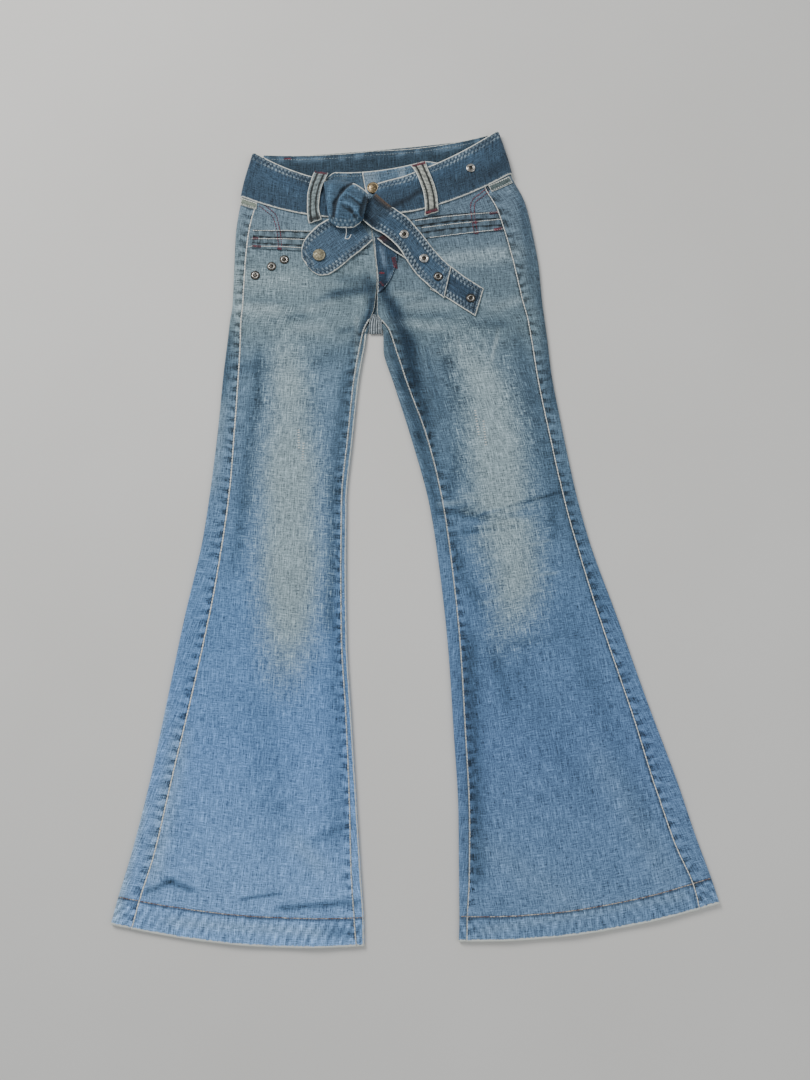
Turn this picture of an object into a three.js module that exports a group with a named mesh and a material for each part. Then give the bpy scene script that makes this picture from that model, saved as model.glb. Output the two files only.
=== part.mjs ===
// Flared jeans with a wide knotted denim belt, laid flat on their back. Millimetres, +Z up.
// The floor is z = 0, the waist is at +Y, the hems are at -Y, and the wearer's right is at -X.
// The origin is on the floor, under the middle of the whole garment.
import * as THREE from "three";

// Driving dimensions.
const CLOTH = 1.2; // one layer of denim
const HEM_CLOTH = 1.9; // the wall where the hem is turned up and pressed
const BAND_CLOTH = 1.8; // waistband and belt, two layers pressed together
const SEAM_GAP = 0.3; // between pieces that are sewn to each other
const LAY_GAP = 0.6; // under a piece that lies loose on a panel
const INNER_TURN = 2.8; // radius of the fold at a leg's inner edge
const EDGE_SOFTNESS = 24; // how far in from a folded edge the top panel settles
const INNER_FLAT = 12; // the last flat stretch of a back panel before its inner fold
const WAISTBAND_UNDER = 10; // how far the front waistbands reach round onto the underside
const WAISTBAND_GAP_ROWS = 0.012; // the seam gap above the panels, as a share of that row
const RUN_GAP = 0.5; // between the belt and the waistband it wraps
const BELT_UNDER = 26; // how far the belt's front runs reach round onto the underside
const BELT_BACK_SAG = 3; // how far the belt's middle sags at the back
const BUTTON_CLEARANCE = 4.4; // how far the left run is raised over the waist button
const KNOT_CLOTH = 2.4;
const KNOT_FOOT = 3; // how far the edges of the knot's wrap dip
const BAND_REACH = 10; // how far round a point of a loose band looks for what it lies on
const MIDDLE = { x: 1, y: 2.065 }; // the garment's middle in the frame of the tables below
const EYELET = { radius: 6.3, hole: 2.7, height: 1.2 };
const SNAP = { radius: 8.7, height: 2.4 };
const BUTTON = { radius: 8.4, height: 4.0 };

const COLOURS = {
  denim: { color: 0x6f8fae, roughness: 0.9, metalness: 0 },
  band: { color: 0x4f6f8f, roughness: 0.9, metalness: 0 },
  trim: { color: 0xb9bfb4, roughness: 0.9, metalness: 0 },
  steel: { color: 0x9a958c, roughness: 0.4, metalness: 1 },
  bronze: { color: 0x8f7d63, roughness: 0.45, metalness: 1 },
};

// Sections of each half from the hem up to the waist. Each has three points seen from above: the
// outer fold at the side, the front panel's inner edge (inseam, then centre front) and the back
// panel's inner edge (inner fold, then centre back). "bow" and "backBow" are how far the middle of
// the front and of the back sags towards the hem, "lap" how far the side seam lies in from the
// outer fold, "turn" how much of the inner fold there is, "lift" the height of the underside,
// "edge" and "mid" the top of the cloth at the outer fold and in the middle.
const COLUMNS =
  "sideX sideY frontX frontY backX backY bow backBow lap turn lift edge mid".split(" ");
const RIGHT_HALF = [
  [-369, -511, -70, -535, -61, -536, 11, 11, 26, 1, 0, 6.2, 5.0],
  [-361, -478, -73, -501, -62, -502, 9, 9, 26, 1, 0, 6.2, 5.0],
  [-347, -425, -77, -449, -66, -450, 5, 5, 27, 1, 0, 6.2, 4.2],
  [-329, -341, -80, -364, -72, -365, 2, 2, 26, 1, 0, 6.2, 4.0],
  [-312, -243, -85, -266, -79, -267, 0, 0, 29, 1, 0, 6.2, 4.0],
  [-295, -142, -92, -163, -86, -164, 0, 0, 31, 1, 0, 6.2, 4.0],
  [-275, -38, -94, -55, -88, -56, 0, 0, 26, 1, 0, 6.2, 4.0],
  [-267, 30, -94, 14, -88, 13, 0, 0, 25, 1, 0, 6.2, 4.0],
  [-260, 110, -87, 98, -81, 97, 0, 0, 22, 1, 0, 6.2, 4.0],
  [-255, 190, -79, 183, -73, 182, 0, 0, 20, 1, 0, 6.2, 4.0],
  [-251, 236, -72, 226, -66, 225, 0, 0, 17, 1, 0, 6.2, 4.2],
  [-249, 262, -67, 250, -62.5, 247, 0, 0, 15, 0.7, 0, 6.2, 4.4],
  [-246, 290, -54, 281, -51.7, 272, 0, 0, 14, 0, 0, 6.2, 4.6],
  [-245.5, 345, -50.2, 326, -51.7, 330, 0, 0, 15, 0, 0, 6.2, 4.6],
  [-245, 385, -53.8, 362, -51.7, 370, 4, 1, 17, 0, 0, 6.4, 4.8],
  [-242, 417, -57.2, 388, -52.2, 402, 8, 2, 19, 0, 0, 7.0, 5.8],
  [-237.5, 441, -60.2, 410, -52.2, 432, 10, 2, 21, 0, 2.3, 8.8, 8.2],
  [-234, 462, -64.7, 438, -53.2, 468, 10, 2, 22, 0, 2.3, 8.8, 8.8],
  [-222.5, 509, -72.2, 480, -55.2, 515, 10, 4, 22, 0, 2.3, 8.8, 8.8],
];
const LEFT_HALF = [
  [371, -487, 62, -530, 53, -531, 12, 12, 25, 1, 0, 6.2, 5.0],
  [362, -456, 63, -500, 54, -501, 13, 13, 23, 1, 0, 6.2, 5.0],
  [346, -408, 66, -452, 54, -453, 8, 8, 27, 1, 0, 6.2, 4.2],
  [326, -341, 67, -381, 54, -382, 4, 4, 28, 1, 0, 6.2, 4.0],
  [293, -243, 63, -281, 49, -283, 0, 0, 23, 1, 0, 6.2, 4.0],
  [261, -142, 58, -178, 43, -180, 0, 0, 22, 1, 0, 6.2, 4.0],
  [227, -38, 48, -71, 32, -73, 0, 0, 17, 1, 0, 6.2, 4.0],
  [211, 30, 37, 10, 20, 8, 0, 0, 17, 1, 0, 6.2, 4.0],
  [195, 120, 17, 98, -3, 96, 0, 0, 18, 1, 0, 6.2, 4.0],
  [184, 190, -9, 173, -26, 171, 0, 0, 19, 1, 0, 6.2, 4.0],
  [180, 236, -25, 224, -41, 221, 0, 0, 21, 1, 0, 6.2, 4.2],
  [177, 264, -34, 251, -41.5, 247, 0, 0, 22, 0.7, 0, 6.2, 4.4],
  [174, 294, -49.8, 277, -51.3, 272, 0, 0, 26, 0, 0, 6.2, 4.6],
  [171, 340, -49.8, 326, -51.3, 330, 2, 0, 32, 0, 0, 6.2, 4.6],
  [165, 382, -53.4, 362, -51.3, 370, 5, 1, 35, 0, 0, 6.4, 4.8],
  [154, 436, -56.8, 388, -51.8, 402, 9, 2, 38, 0, 0, 7.0, 5.8],
  [135, 476, -59.8, 410, -51.8, 432, 12, 2, 38, 0, 2.3, 8.8, 8.2],
  [130, 498, -64.3, 438, -52.8, 468, 12, 2, 38, 0, 2.3, 8.8, 8.8],
  [117, 542, -71.8, 480, -54.8, 515, 12, 6, 38, 0, 2.3, 8.8, 8.8],
];
const HEM_ROW = 1; // the row of the hem's stitching
const PANEL_TOP_ROW = 17; // where the panels end and the waistband begins
const WAIST_ROW = 18;
const STEPS = [2, 2, 3, 3, 3, 3, 2, 3, 3, 2, 2, 2, 3, 2, 2, 2, 1]; // steps of the panels per row

// The largest folds of the upper panels, as soft ridges and troughs from one point to another.
const FOLDS = [
  // fromX fromY toX toY width height
  [-245, 20, -120, 40, 22, -0.9], // behind the right knee
  [-262, -150, -150, -60, 30, 1.3],
  [-215, -500, -235, -250, 30, 1.8],
  [-120, -530, -130, -380, 26, 1.6],
  [-235, 300, -90, 240, 20, 1.4],
  [-210, 350, -80, 310, 20, 1.2],
  [-60, 290, -140, 60, 22, -0.9],
  [-30, 330, -36, 200, 16, 2.2],
  [30, 60, 175, 95, 18, 1.8], // across the left knee
  [45, 30, 185, 60, 16, -0.9],
  [0, 300, 120, 240, 22, 1.4],
  [10, 330, 130, 320, 18, 1.1],
  [190, -500, 150, -260, 30, 1.9],
  [290, -480, 250, -300, 28, 1.6],
  [110, -520, 95, -380, 24, 1.4],
  [215, -200, 120, -60, 30, 1.3],
];

// Belt, loops and the pieces on the panels: each row gives the two edges of a band seen from above.
const FLY = [
  // edgeX edgeY stitchX stitchY
  [-48.6, 303, -45, 303],
  [-48.3, 312, -38, 311],
  [-48.6, 322, -31.5, 320],
  [-49.8, 336, -25.5, 335],
  [-51.8, 354, -22, 354],
  [-54.2, 384, -22, 384],
];
const SEAT_SEAM = [
  [-60.5, 245, -44, 245],
  [-60.5, 255, -44, 255],
  [-59, 265, -44, 264],
  [-54.5, 272.5, -47.5, 271],
];
const SEAT_SEAM_TOPS = [3.7, 4.2, 4.4, 4.6];
const TUCKS = {
  right: { lower: [-222, 367, -62, 359], upper: [-220, 395, -66, 388] },
  left: { lower: [123, 393, -14, 376], upper: [114, 421, -10, 408] },
  count: 3,
  rise: 1.2,
  columns: 9,
};
const SIDE_STRIPS = {
  right: [
    [-237.6, 440.5, -238.6, 430],
    [-227, 436.5, -228, 426.5],
    [-215.5, 432.6, -216.5, 423],
  ],
  left: [
    [103, 459, 108, 449.5],
    [119, 466, 123.5, 456.5],
    [132, 472.6, 137, 463],
  ],
  thick: 1.0,
};
const UNDER_FOLD = [
  [-32, 393, -50, 379],
  [-20, 388, -40, 371],
  [-6, 378, -25, 360],
  [6, 366, -9, 349],
];
const TAIL_END = [
  [34, 352, 22, 307],
  [50, 341, 42, 296],
  [70, 325, 61, 283],
  [95, 308, 83, 268],
];
const TAIL = [
  [-52, 442, -77, 411],
  [-35, 427, -60, 395],
  [-20, 416, -44, 386],
  [-6, 406, -30, 375],
  [5, 394, -18, 361],
  [16, 380, -8, 344],
  [27, 365, 5, 327],
  [39, 350, 23, 308],
  [51, 338, 41, 293],
];
const TAB = [
  [-88, 424, -56, 378],
  [-104, 414, -71, 364],
  [-117, 406, -86, 352],
  [-128, 399, -97, 342],
  [-138, 392, -107, 334],
  [-146, 384, -117, 328],
  [-151, 375, -127, 327],
  [-153.5, 363, -136, 331],
  [-152.5, 352, -144, 339],
];
// The knot's wrap arches over the layers inside it: "edge" and "crown" are heights of its top.
const KNOT = [
  // upperX upperY lowerX lowerY edge crown
  [-124, 460, -116, 403, 18.5, 19],
  [-114, 463, -109, 396, 19.5, 22.5],
  [-103, 463, -103, 392, 20.5, 25.5],
  [-91, 460, -94, 391, 21, 27.5],
  [-80, 456, -84, 391, 21.5, 28],
  [-70, 449, -75, 396, 22, 27.5],
  [-62, 441, -68, 404, 23, 27],
];
const LOOPS = {
  right: [
    // outerX outerY innerX innerY
    [-137, 479, -118, 477],
    [-140, 470, -121, 467],
    [-144, 456, -126, 455],
    [-146.5, 440, -129, 440],
    [-146.5, 424, -130, 425],
    [-145.5, 410, -128, 413],
    [-144, 402, -126, 407],
  ],
  left: [
    [16, 494, -5, 489],
    [20, 481, 3, 475],
    [25, 468, 9, 460],
    [29.5, 455, 13, 447],
    [32.5, 440, 15, 433],
    [33.5, 428, 15.5, 422],
    [34, 419, 15, 413],
  ],
  thick: 1.7,
};
const EYELETS = [
  // name x y
  ["eyelet_tail_1", -13, 385],
  ["eyelet_tail_2", 14, 350],
  ["eyelet_tail_3", 33, 324],
  ["eyelet_tail_4", 77, 294],
  ["eyelet_belt", 79, 484],
  ["eyelet_pocket_1", -216, 328],
  ["eyelet_pocket_2", -194, 341],
  ["eyelet_pocket_3", -177, 351],
];
const SNAP_PLACE = [-129, 356];
const BUTTON_PLACE = [-56, 455];

// One row of a section table, at any place between two rows. Each column follows a smooth curve
// through its values that never swings past them.
function sectionAt(table, row) {
  const last = table.length - 1;
  const i = Math.min(Math.floor(row), last - 1);
  const t = row - i;
  const rise = (column, k) =>
    k < 0 || k >= last ? null : table[k + 1][column] - table[k][column];
  const slope = (column, k) => {
    const below = rise(column, k - 1) ?? rise(column, k);
    const above = rise(column, k) ?? below;
    return below * above <= 0 ? 0 : (2 * below * above) / (below + above);
  };
  const section = {};
  COLUMNS.forEach((name, column) => {
    section[name] =
      table[i][column] * (2 * t ** 3 - 3 * t ** 2 + 1) +
      slope(column, i) * (t ** 3 - 2 * t ** 2 + t) +
      table[i + 1][column] * (3 * t ** 2 - 2 * t ** 3) +
      slope(column, i + 1) * (t ** 3 - t ** 2);
  });
  section.side = new THREE.Vector2(section.sideX, section.sideY);
  section.front = new THREE.Vector2(section.frontX, section.frontY);
  section.back = new THREE.Vector2(section.backX, section.backY);
  section.topStart = section.front.clone().lerp(section.back, section.turn);
  section.topSpan = section.side.distanceTo(section.topStart);
  section.bottomSpan = section.side.distanceTo(section.back);
  section.topWay = section.side.clone().sub(section.topStart).normalize();
  section.bottomWay = section.side.clone().sub(section.back).normalize();
  section.outerTurn = (section.edge - section.lift) / 2;
  section.innerStart = INNER_TURN * section.turn;
  return section;
}

// The height that the folds add at a place: each is a bell across its line, fading at its ends.
function foldHeight(x, y) {
  let sum = 0;
  for (const [x0, y0, x1, y1, width, height] of FOLDS) {
    const length = Math.hypot(x1 - x0, y1 - y0);
    const along = ((x - x0) * (x1 - x0) + (y - y0) * (y1 - y0)) / length;
    const across = ((x - x0) * (y1 - y0) - (y - y0) * (x1 - x0)) / length;
    const past = Math.max(0, -along, along - length);
    sum += height * Math.exp(-((across / width) ** 2) - (past / (2 * width)) ** 2);
  }
  return sum;
}

// A point of the ring round a section, and the direction away from the cloth, on its top panel,
// "span" in from the start of the top panel.
function topPoint(section, span) {
  const { topStart, topWay, topSpan, outerTurn, innerStart, edge, mid, turn, bow } = section;
  const settled = topSpan - outerTurn - innerStart;
  const share = THREE.MathUtils.clamp((span - innerStart) / settled, 0, 1);
  const sag = 4 * bow * share * (1 - share);
  const x = topStart.x + topWay.x * span;
  const y = topStart.y + topWay.y * span - sag;
  const fromOuter = Math.max(0, topSpan - outerTurn - span);
  const fromInner = Math.max(0, span - innerStart);
  const bell = (distance) => Math.exp(-((distance / EDGE_SOFTNESS) ** 2));
  const outer = bell(fromOuter);
  const inner = turn * bell(fromInner);
  const innerTop = section.lift + 2 * INNER_TURN;
  const flat = Math.max(0, 1 - outer - inner);
  const waist = THREE.MathUtils.smoothstep(mid, 4.8, 5.8);
  const z = edge * outer + innerTop * inner + mid * flat + flat * (1 - waist) * foldHeight(x, y);
  return { place: new THREE.Vector3(x, y, z), away: new THREE.Vector3(0, 0, 1) };
}

// The same on the outer fold, from its top (share 0) round to the underside (share 1).
function outerTurnPoint(section, share) {
  const angle = Math.PI * (0.5 - share);
  const way = section.topWay.clone().lerp(section.bottomWay, share).normalize();
  const { side, outerTurn, lift } = section;
  const reach = outerTurn * (Math.cos(angle) - 1);
  return {
    place: new THREE.Vector3(
      side.x + way.x * reach,
      side.y + way.y * reach,
      lift + outerTurn * (1 + Math.sin(angle)),
    ),
    away: new THREE.Vector3(way.x * Math.cos(angle), way.y * Math.cos(angle), Math.sin(angle)),
  };
}

// The same on the flat underside, "span" out from the back panel's inner edge.
function underPoint(section, span) {
  const { back, bottomWay, bottomSpan, outerTurn, innerStart, backBow, lift } = section;
  const settled = bottomSpan - outerTurn - innerStart;
  const share = THREE.MathUtils.clamp((span - innerStart) / settled, 0, 1);
  const sag = 4 * backBow * share * (1 - share);
  return {
    place: new THREE.Vector3(
      back.x + bottomWay.x * span,
      back.y + bottomWay.y * span - sag,
      lift,
    ),
    away: new THREE.Vector3(0, 0, -1),
  };
}

// The same on the inner edge, by its share of the way from the flat underside, round the inner
// fold and over the top to the front panel. Above the crotch only the flat stretch is left.
function innerPoint(section, share) {
  const { back, bottomWay, turn, innerStart, lift, front, topStart } = section;
  const arc = Math.PI * INNER_TURN * turn;
  const seam = front.distanceTo(topStart) - SEAM_GAP;
  const over = Math.max(0, seam - INNER_TURN) * turn;
  let rest = share * (INNER_FLAT + arc + over);
  if (rest <= INNER_FLAT) return underPoint(section, innerStart + INNER_FLAT - rest);
  rest -= INNER_FLAT;
  if (rest <= arc) {
    const angle = rest / INNER_TURN;
    const reach = innerStart - INNER_TURN * Math.sin(angle);
    return {
      place: new THREE.Vector3(
        back.x + bottomWay.x * reach,
        back.y + bottomWay.y * reach,
        lift + INNER_TURN * (1 - Math.cos(angle)),
      ),
      away: new THREE.Vector3(
        -bottomWay.x * Math.sin(angle),
        -bottomWay.y * Math.sin(angle),
        -Math.cos(angle),
      ),
    };
  }
  return topPoint(section, INNER_TURN + rest - arc);
}

// Even shares from 0 to 1, both ends included.
const shares = (steps) => Array.from({ length: steps + 1 }, (_, k) => k / steps);

// A closed wall from a grid of ring points: its outer face is the grid moved out by "gap", its
// inner face lies "thick" below that.
function wallRows(grid, gap, thick) {
  return grid.map((row) =>
    row.map(({ place, away, thick: own }) => ({
      outer: place.clone().addScaledVector(away, gap + (own ?? thick)),
      inner: place.clone().addScaledVector(away, gap),
    })),
  );
}

function wallGeometry(rows) {
  const height = rows.length;
  const width = rows[0].length;
  const positions = [];
  for (const face of ["outer", "inner"])
    for (const row of rows) for (const point of row) positions.push(...point[face].toArray());
  const at = (face, i, j) => face * height * width + i * width + j;
  const index = [];
  for (let i = 0; i + 1 < height; i++)
    for (let j = 0; j + 1 < width; j++) {
      const [a, b, c, d] = [at(0, i, j), at(0, i, j + 1), at(0, i + 1, j + 1), at(0, i + 1, j)];
      const inside = height * width;
      index.push(a, b, c, a, c, d);
      index.push(a + inside, c + inside, b + inside, a + inside, d + inside, c + inside);
    }
  const border = [];
  for (let j = 0; j + 1 < width; j++) border.push([0, j]);
  for (let i = 0; i + 1 < height; i++) border.push([i, width - 1]);
  for (let j = width - 1; j > 0; j--) border.push([height - 1, j]);
  for (let i = height - 1; i > 0; i--) border.push([i, 0]);
  border.forEach(([i, j], k) => {
    const [ni, nj] = border[(k + 1) % border.length];
    index.push(at(0, ni, nj), at(0, i, j), at(1, i, j));
    index.push(at(0, ni, nj), at(1, i, j), at(1, ni, nj));
  });
  const geometry = new THREE.BufferGeometry();
  geometry.setAttribute("position", new THREE.Float32BufferAttribute(positions, 3));
  geometry.setIndex(index);
  if (volumeOf(positions, index) < 0) geometry.setIndex(turnedRound(index));
  geometry.computeVertexNormals();
  return geometry;
}

function volumeOf(positions, index) {
  let six = 0;
  const corner = (k) => new THREE.Vector3().fromArray(positions, 3 * index[k]);
  for (let k = 0; k < index.length; k += 3)
    six += corner(k).dot(corner(k + 1).cross(corner(k + 2)));
  return six / 6;
}

function turnedRound(index) {
  const turned = [];
  for (let k = 0; k < index.length; k += 3) turned.push(index[k], index[k + 2], index[k + 1]);
  return turned;
}

const jeans = new THREE.Group();
const tops = []; // upper faces built so far, on which later pieces lie

function material(name) {
  return new THREE.MeshStandardMaterial({ ...COLOURS[name], side: THREE.DoubleSide });
}

function addWall(name, look, rows) {
  const mesh = new THREE.Mesh(wallGeometry(rows), material(look));
  mesh.name = name;
  jeans.add(mesh);
  tops.push(rows);
  return mesh;
}

// The height of the highest upper face over a place, or 0 over the bare floor.
function topAt(x, y) {
  let highest = 0;
  for (const rows of tops)
    for (let i = 0; i + 1 < rows.length; i++)
      for (let j = 0; j + 1 < rows[0].length; j++) {
        const corners = [rows[i][j], rows[i][j + 1], rows[i + 1][j + 1], rows[i + 1][j]].map(
          (point) => point.outer,
        );
        highest = Math.max(highest, heightIn(corners[0], corners[1], corners[2], x, y));
        highest = Math.max(highest, heightIn(corners[0], corners[2], corners[3], x, y));
      }
  return highest;
}

function heightIn(a, b, c, x, y) {
  const area = (b.x - a.x) * (c.y - a.y) - (c.x - a.x) * (b.y - a.y);
  if (Math.abs(area) < 1e-6) return 0;
  const u = ((x - a.x) * (c.y - a.y) - (c.x - a.x) * (y - a.y)) / area;
  const v = ((b.x - a.x) * (y - a.y) - (x - a.x) * (b.y - a.y)) / area;
  if (u < -1e-6 || v < -1e-6 || u + v > 1 + 1e-6) return 0;
  return a.z + u * (b.z - a.z) + v * (c.z - a.z);
}

// The height a loose piece needs over a place, from what lies within "reach" of it.
function restAt(x, y, reach) {
  let highest = 0;
  for (const dx of [-1, -0.5, 0, 0.5, 1])
    for (const dy of [-1, -0.5, 0, 0.5, 1])
      highest = Math.max(highest, topAt(x + dx * reach, y + dy * reach));
  return highest;
}

// A band between two edges, laid on what is below it, with "columns" steps across.
function laidBand(name, look, table, columns, thick, reach, gap = LAY_GAP) {
  const rows = table.map(([ax, ay, bx, by]) =>
    shares(columns).map((share) => {
      const x = THREE.MathUtils.lerp(ax, bx, share);
      const y = THREE.MathUtils.lerp(ay, by, share);
      const z = restAt(x, y, reach) + gap;
      return { outer: new THREE.Vector3(x, y, z + thick), inner: new THREE.Vector3(x, y, z) };
    }),
  );
  return addWall(name, look, rows);
}

// Places up a panel, from the hem's edge to the row where the waistband is sewn on.
const panelRows = STEPS.flatMap((steps, row) =>
  Array.from({ length: steps }, (_, k) => row + k / steps),
).concat(PANEL_TOP_ROW);

function panelThickness(row) {
  return row <= HEM_ROW ? HEM_CLOTH : CLOTH;
}

function addPanels(side, table) {
  const front = [];
  const back = [];
  for (const row of panelRows) {
    const section = sectionAt(table, row);
    const thick = panelThickness(row);
    const inset = (point) => {
      point.place.addScaledVector(point.away, -thick);
      return { ...point, thick };
    };
    const from = section.front.distanceTo(section.topStart);
    const to = section.topSpan - section.lap;
    front.push(
      shares(11).map((share) => inset(topPoint(section, from + (to - from) * share))),
    );
    const stripFrom = to + SEAM_GAP;
    const stripTo = section.topSpan - section.outerTurn;
    const underFrom = section.bottomSpan - section.outerTurn;
    const underTo = section.innerStart + INNER_FLAT;
    back.push(
      [
        ...shares(2).map((share) => topPoint(section, stripFrom + (stripTo - stripFrom) * share)),
        ...shares(4).slice(1).map((share) => outerTurnPoint(section, share)),
        ...shares(4)
          .slice(1)
          .map((share) => underPoint(section, THREE.MathUtils.lerp(underFrom, underTo, share))),
        ...shares(7).slice(1).map((share) => innerPoint(section, share)),
      ].map(inset),
    );
  }
  addWall(`front_${side}`, "denim", wallRows(front, 0, CLOTH));
  addWall(`back_${side}`, "denim", wallRows(back, 0, CLOTH));
}

// The belt's edges, as rows of its half, and where it is raised beside the knot, by the share of
// the way from the centre front to the side: its upper edge dips towards the knot.
const BELT_FROM = 0.02;
const beltLower = () => 16;
const beltUpper = (out) => 17.98 - 0.42 * (1 - out) - 0.35 * Math.max(0, 0.4 - out);
const nearKnot = (out) => 1 - THREE.MathUtils.smoothstep(out, 0.14, 0.34);

// A stretch of waistband or belt on one half: from the centre front to the side, round it, and
// "under" millimetres along the underside. "lower" and "upper" give its edges, as rows, by the
// share of the way to the side, and "gap" its distance from the ring.
const WRAP_STEPS = { top: 8, turn: 6, under: 2, height: 3 };
function wrapRows(table, from, under, lower, upper, gap) {
  const places = [
    ...shares(WRAP_STEPS.top).map((share) => ["top", from + (1 - from) * share]),
    ...shares(WRAP_STEPS.turn).slice(1).map((share) => ["turn", share]),
    ...shares(WRAP_STEPS.under).slice(1).map((share) => ["under", share]),
  ];
  return shares(WRAP_STEPS.height).map((level) =>
    places.map(([zone, share]) => {
      const out = zone === "top" ? share : 1;
      const section = sectionAt(table, THREE.MathUtils.lerp(lower(out), upper(out), level));
      const { topSpan, bottomSpan, outerTurn } = section;
      let point = null;
      if (zone === "top") point = topPoint(section, (topSpan - outerTurn) * share);
      if (zone === "turn") point = outerTurnPoint(section, share);
      if (zone === "under") point = underPoint(section, bottomSpan - outerTurn - under * share);
      point.place.addScaledVector(point.away, gap(out));
      return point;
    }),
  );
}

function addSeatSeam() {
  const rows = SEAT_SEAM.map(([ax, ay, bx, by], i) =>
    shares(3).map((share) => {
      const x = THREE.MathUtils.lerp(ax, bx, share);
      const y = THREE.MathUtils.lerp(ay, by, share);
      const z = SEAT_SEAM_TOPS[i];
      return { outer: new THREE.Vector3(x, y, z), inner: new THREE.Vector3(x, y, z - CLOTH) };
    }),
  );
  addWall("seat_seam", "trim", rows);
}

// A panel of narrow tucks: each tuck is a sloped strip whose upper edge tops the next one's foot.
function addTucks(side) {
  const { lower, upper } = TUCKS[side];
  const levels = [];
  for (let tuck = 0; tuck < TUCKS.count; tuck++)
    levels.push([(tuck + 0.04) / TUCKS.count, TUCKS.rise], [(tuck + 0.96) / TUCKS.count, 0.7]);
  const rows = levels.map(([level, rise]) =>
    shares(TUCKS.columns).map((share) => {
      const x = THREE.MathUtils.lerp(
        THREE.MathUtils.lerp(lower[0], upper[0], level),
        THREE.MathUtils.lerp(lower[2], upper[2], level),
        share,
      );
      const y = THREE.MathUtils.lerp(
        THREE.MathUtils.lerp(lower[1], upper[1], level),
        THREE.MathUtils.lerp(lower[3], upper[3], level),
        share,
      );
      const z = restAt(x, y, 3) + SEAM_GAP;
      return { outer: new THREE.Vector3(x, y, z + rise), inner: new THREE.Vector3(x, y, z) };
    }),
  );
  addWall(`pocket_tucks_${side}`, "denim", rows);
}

function addBeltBack() {
  const ends = [RIGHT_HALF, LEFT_HALF].map((table) =>
    [beltLower(1), beltUpper(1)].map((row) => {
      const section = sectionAt(table, row);
      const span = section.bottomSpan - section.outerTurn - BELT_UNDER - SEAM_GAP;
      return underPoint(section, span).place;
    }),
  );
  const rows = shares(8).map((share) =>
    shares(1).map((level) => {
      const right = ends[0][0].clone().lerp(ends[0][1], level);
      const left = ends[1][0].clone().lerp(ends[1][1], level);
      const point = right.lerp(left, share);
      point.y -= BELT_BACK_SAG * 4 * share * (1 - share);
      return {
        outer: new THREE.Vector3(point.x, point.y, BAND_CLOTH),
        inner: new THREE.Vector3(point.x, point.y, 0),
      };
    }),
  );
  addWall("belt_back", "band", rows);
}

function addWaistbandBack() {
  const rows = shares(2).map((level) => {
    const row = THREE.MathUtils.lerp(PANEL_TOP_ROW + WAISTBAND_GAP_ROWS, WAIST_ROW, level);
    const halves = [RIGHT_HALF, LEFT_HALF].map((table) => {
      const section = sectionAt(table, row);
      const start = section.bottomSpan - section.outerTurn - WAISTBAND_UNDER - SEAM_GAP;
      return shares(7).map((share) => underPoint(section, start * (1 - share)));
    });
    return [...halves[0], ...halves[1].reverse().slice(1)];
  });
  for (const point of rows.flat()) point.place.addScaledVector(point.away, -BAND_CLOTH);
  addWall("waistband_back", "band", wallRows(rows, 0, BAND_CLOTH));
}

// The knot's wrap: an arch between its edges, higher in the middle by a smooth bell.
function addKnot() {
  const rows = KNOT.map(([ux, uy, lx, ly, edge, crown]) =>
    shares(8).map((share) => {
      const x = THREE.MathUtils.lerp(ux, lx, share);
      const y = THREE.MathUtils.lerp(uy, ly, share);
      const rise = Math.sin(Math.PI * share) ** 0.7;
      const foot = Math.max(0, 1 - Math.min(share, 1 - share) * 8);
      const z = edge + (crown - edge) * rise - KNOT_FOOT * foot;
      return {
        outer: new THREE.Vector3(x, y, z),
        inner: new THREE.Vector3(x, y, z - KNOT_CLOTH),
      };
    }),
  );
  addWall("belt_knot", "band", rows);
}

// A round piece of metal turned from a profile of radius and height, set down on what is below.
function addTurned(name, look, profile, x, y, radius) {
  const points = profile.map(([r, z]) => new THREE.Vector2(r, z));
  const geometry = new THREE.LatheGeometry(points, 16);
  geometry.rotateX(Math.PI / 2);
  const mesh = new THREE.Mesh(geometry, material(look));
  mesh.name = name;
  mesh.position.set(x, y, restAt(x, y, radius * 0.8) + SEAM_GAP);
  jeans.add(mesh);
}

function eyeletProfile({ radius, hole, height }) {
  return [
    [hole, 0],
    [radius, 0],
    [radius - 0.4, height * 0.6],
    [(radius + hole) / 2, height],
    [hole + 0.5, height * 0.6],
    [hole, 0],
  ];
}

function capProfile({ radius, height }) {
  return [
    [0, 0],
    [radius, 0],
    [radius, height * 0.35],
    [radius * 0.82, height * 0.8],
    [radius * 0.5, height],
    [0, height],
  ];
}

addPanels("right", RIGHT_HALF);
addPanels("left", LEFT_HALF);
for (const [side, table] of [["right", RIGHT_HALF], ["left", LEFT_HALF]]) {
  const lower = () => PANEL_TOP_ROW + WAISTBAND_GAP_ROWS;
  const inside = () => -BAND_CLOTH;
  const grid = wrapRows(table, 0, WAISTBAND_UNDER, lower, () => WAIST_ROW, inside);
  addWall(`waistband_front_${side}`, "band", wallRows(grid, 0, BAND_CLOTH));
}
addWaistbandBack();
addSeatSeam();
laidBand("fly_placket", "denim", FLY, 2, 0.9, 4, SEAM_GAP);
addTurned("waist_button", "bronze", capProfile(BUTTON), ...BUTTON_PLACE, BUTTON.radius);
addTucks("right");
addTucks("left");
for (const side of ["right", "left"])
  laidBand(`side_strip_${side}`, "trim", SIDE_STRIPS[side], 1, SIDE_STRIPS.thick, 4, SEAM_GAP);
const RUNS = [
  ["right", RIGHT_HALF, () => RUN_GAP],
  ["left", LEFT_HALF, (out) => RUN_GAP + BUTTON_CLEARANCE * nearKnot(out)],
];
for (const [side, table, gap] of RUNS) {
  const grid = wrapRows(table, BELT_FROM, BELT_UNDER, beltLower, beltUpper, gap);
  addWall(`belt_run_${side}`, "band", wallRows(grid, 0, BAND_CLOTH));
}
addBeltBack();
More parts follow.
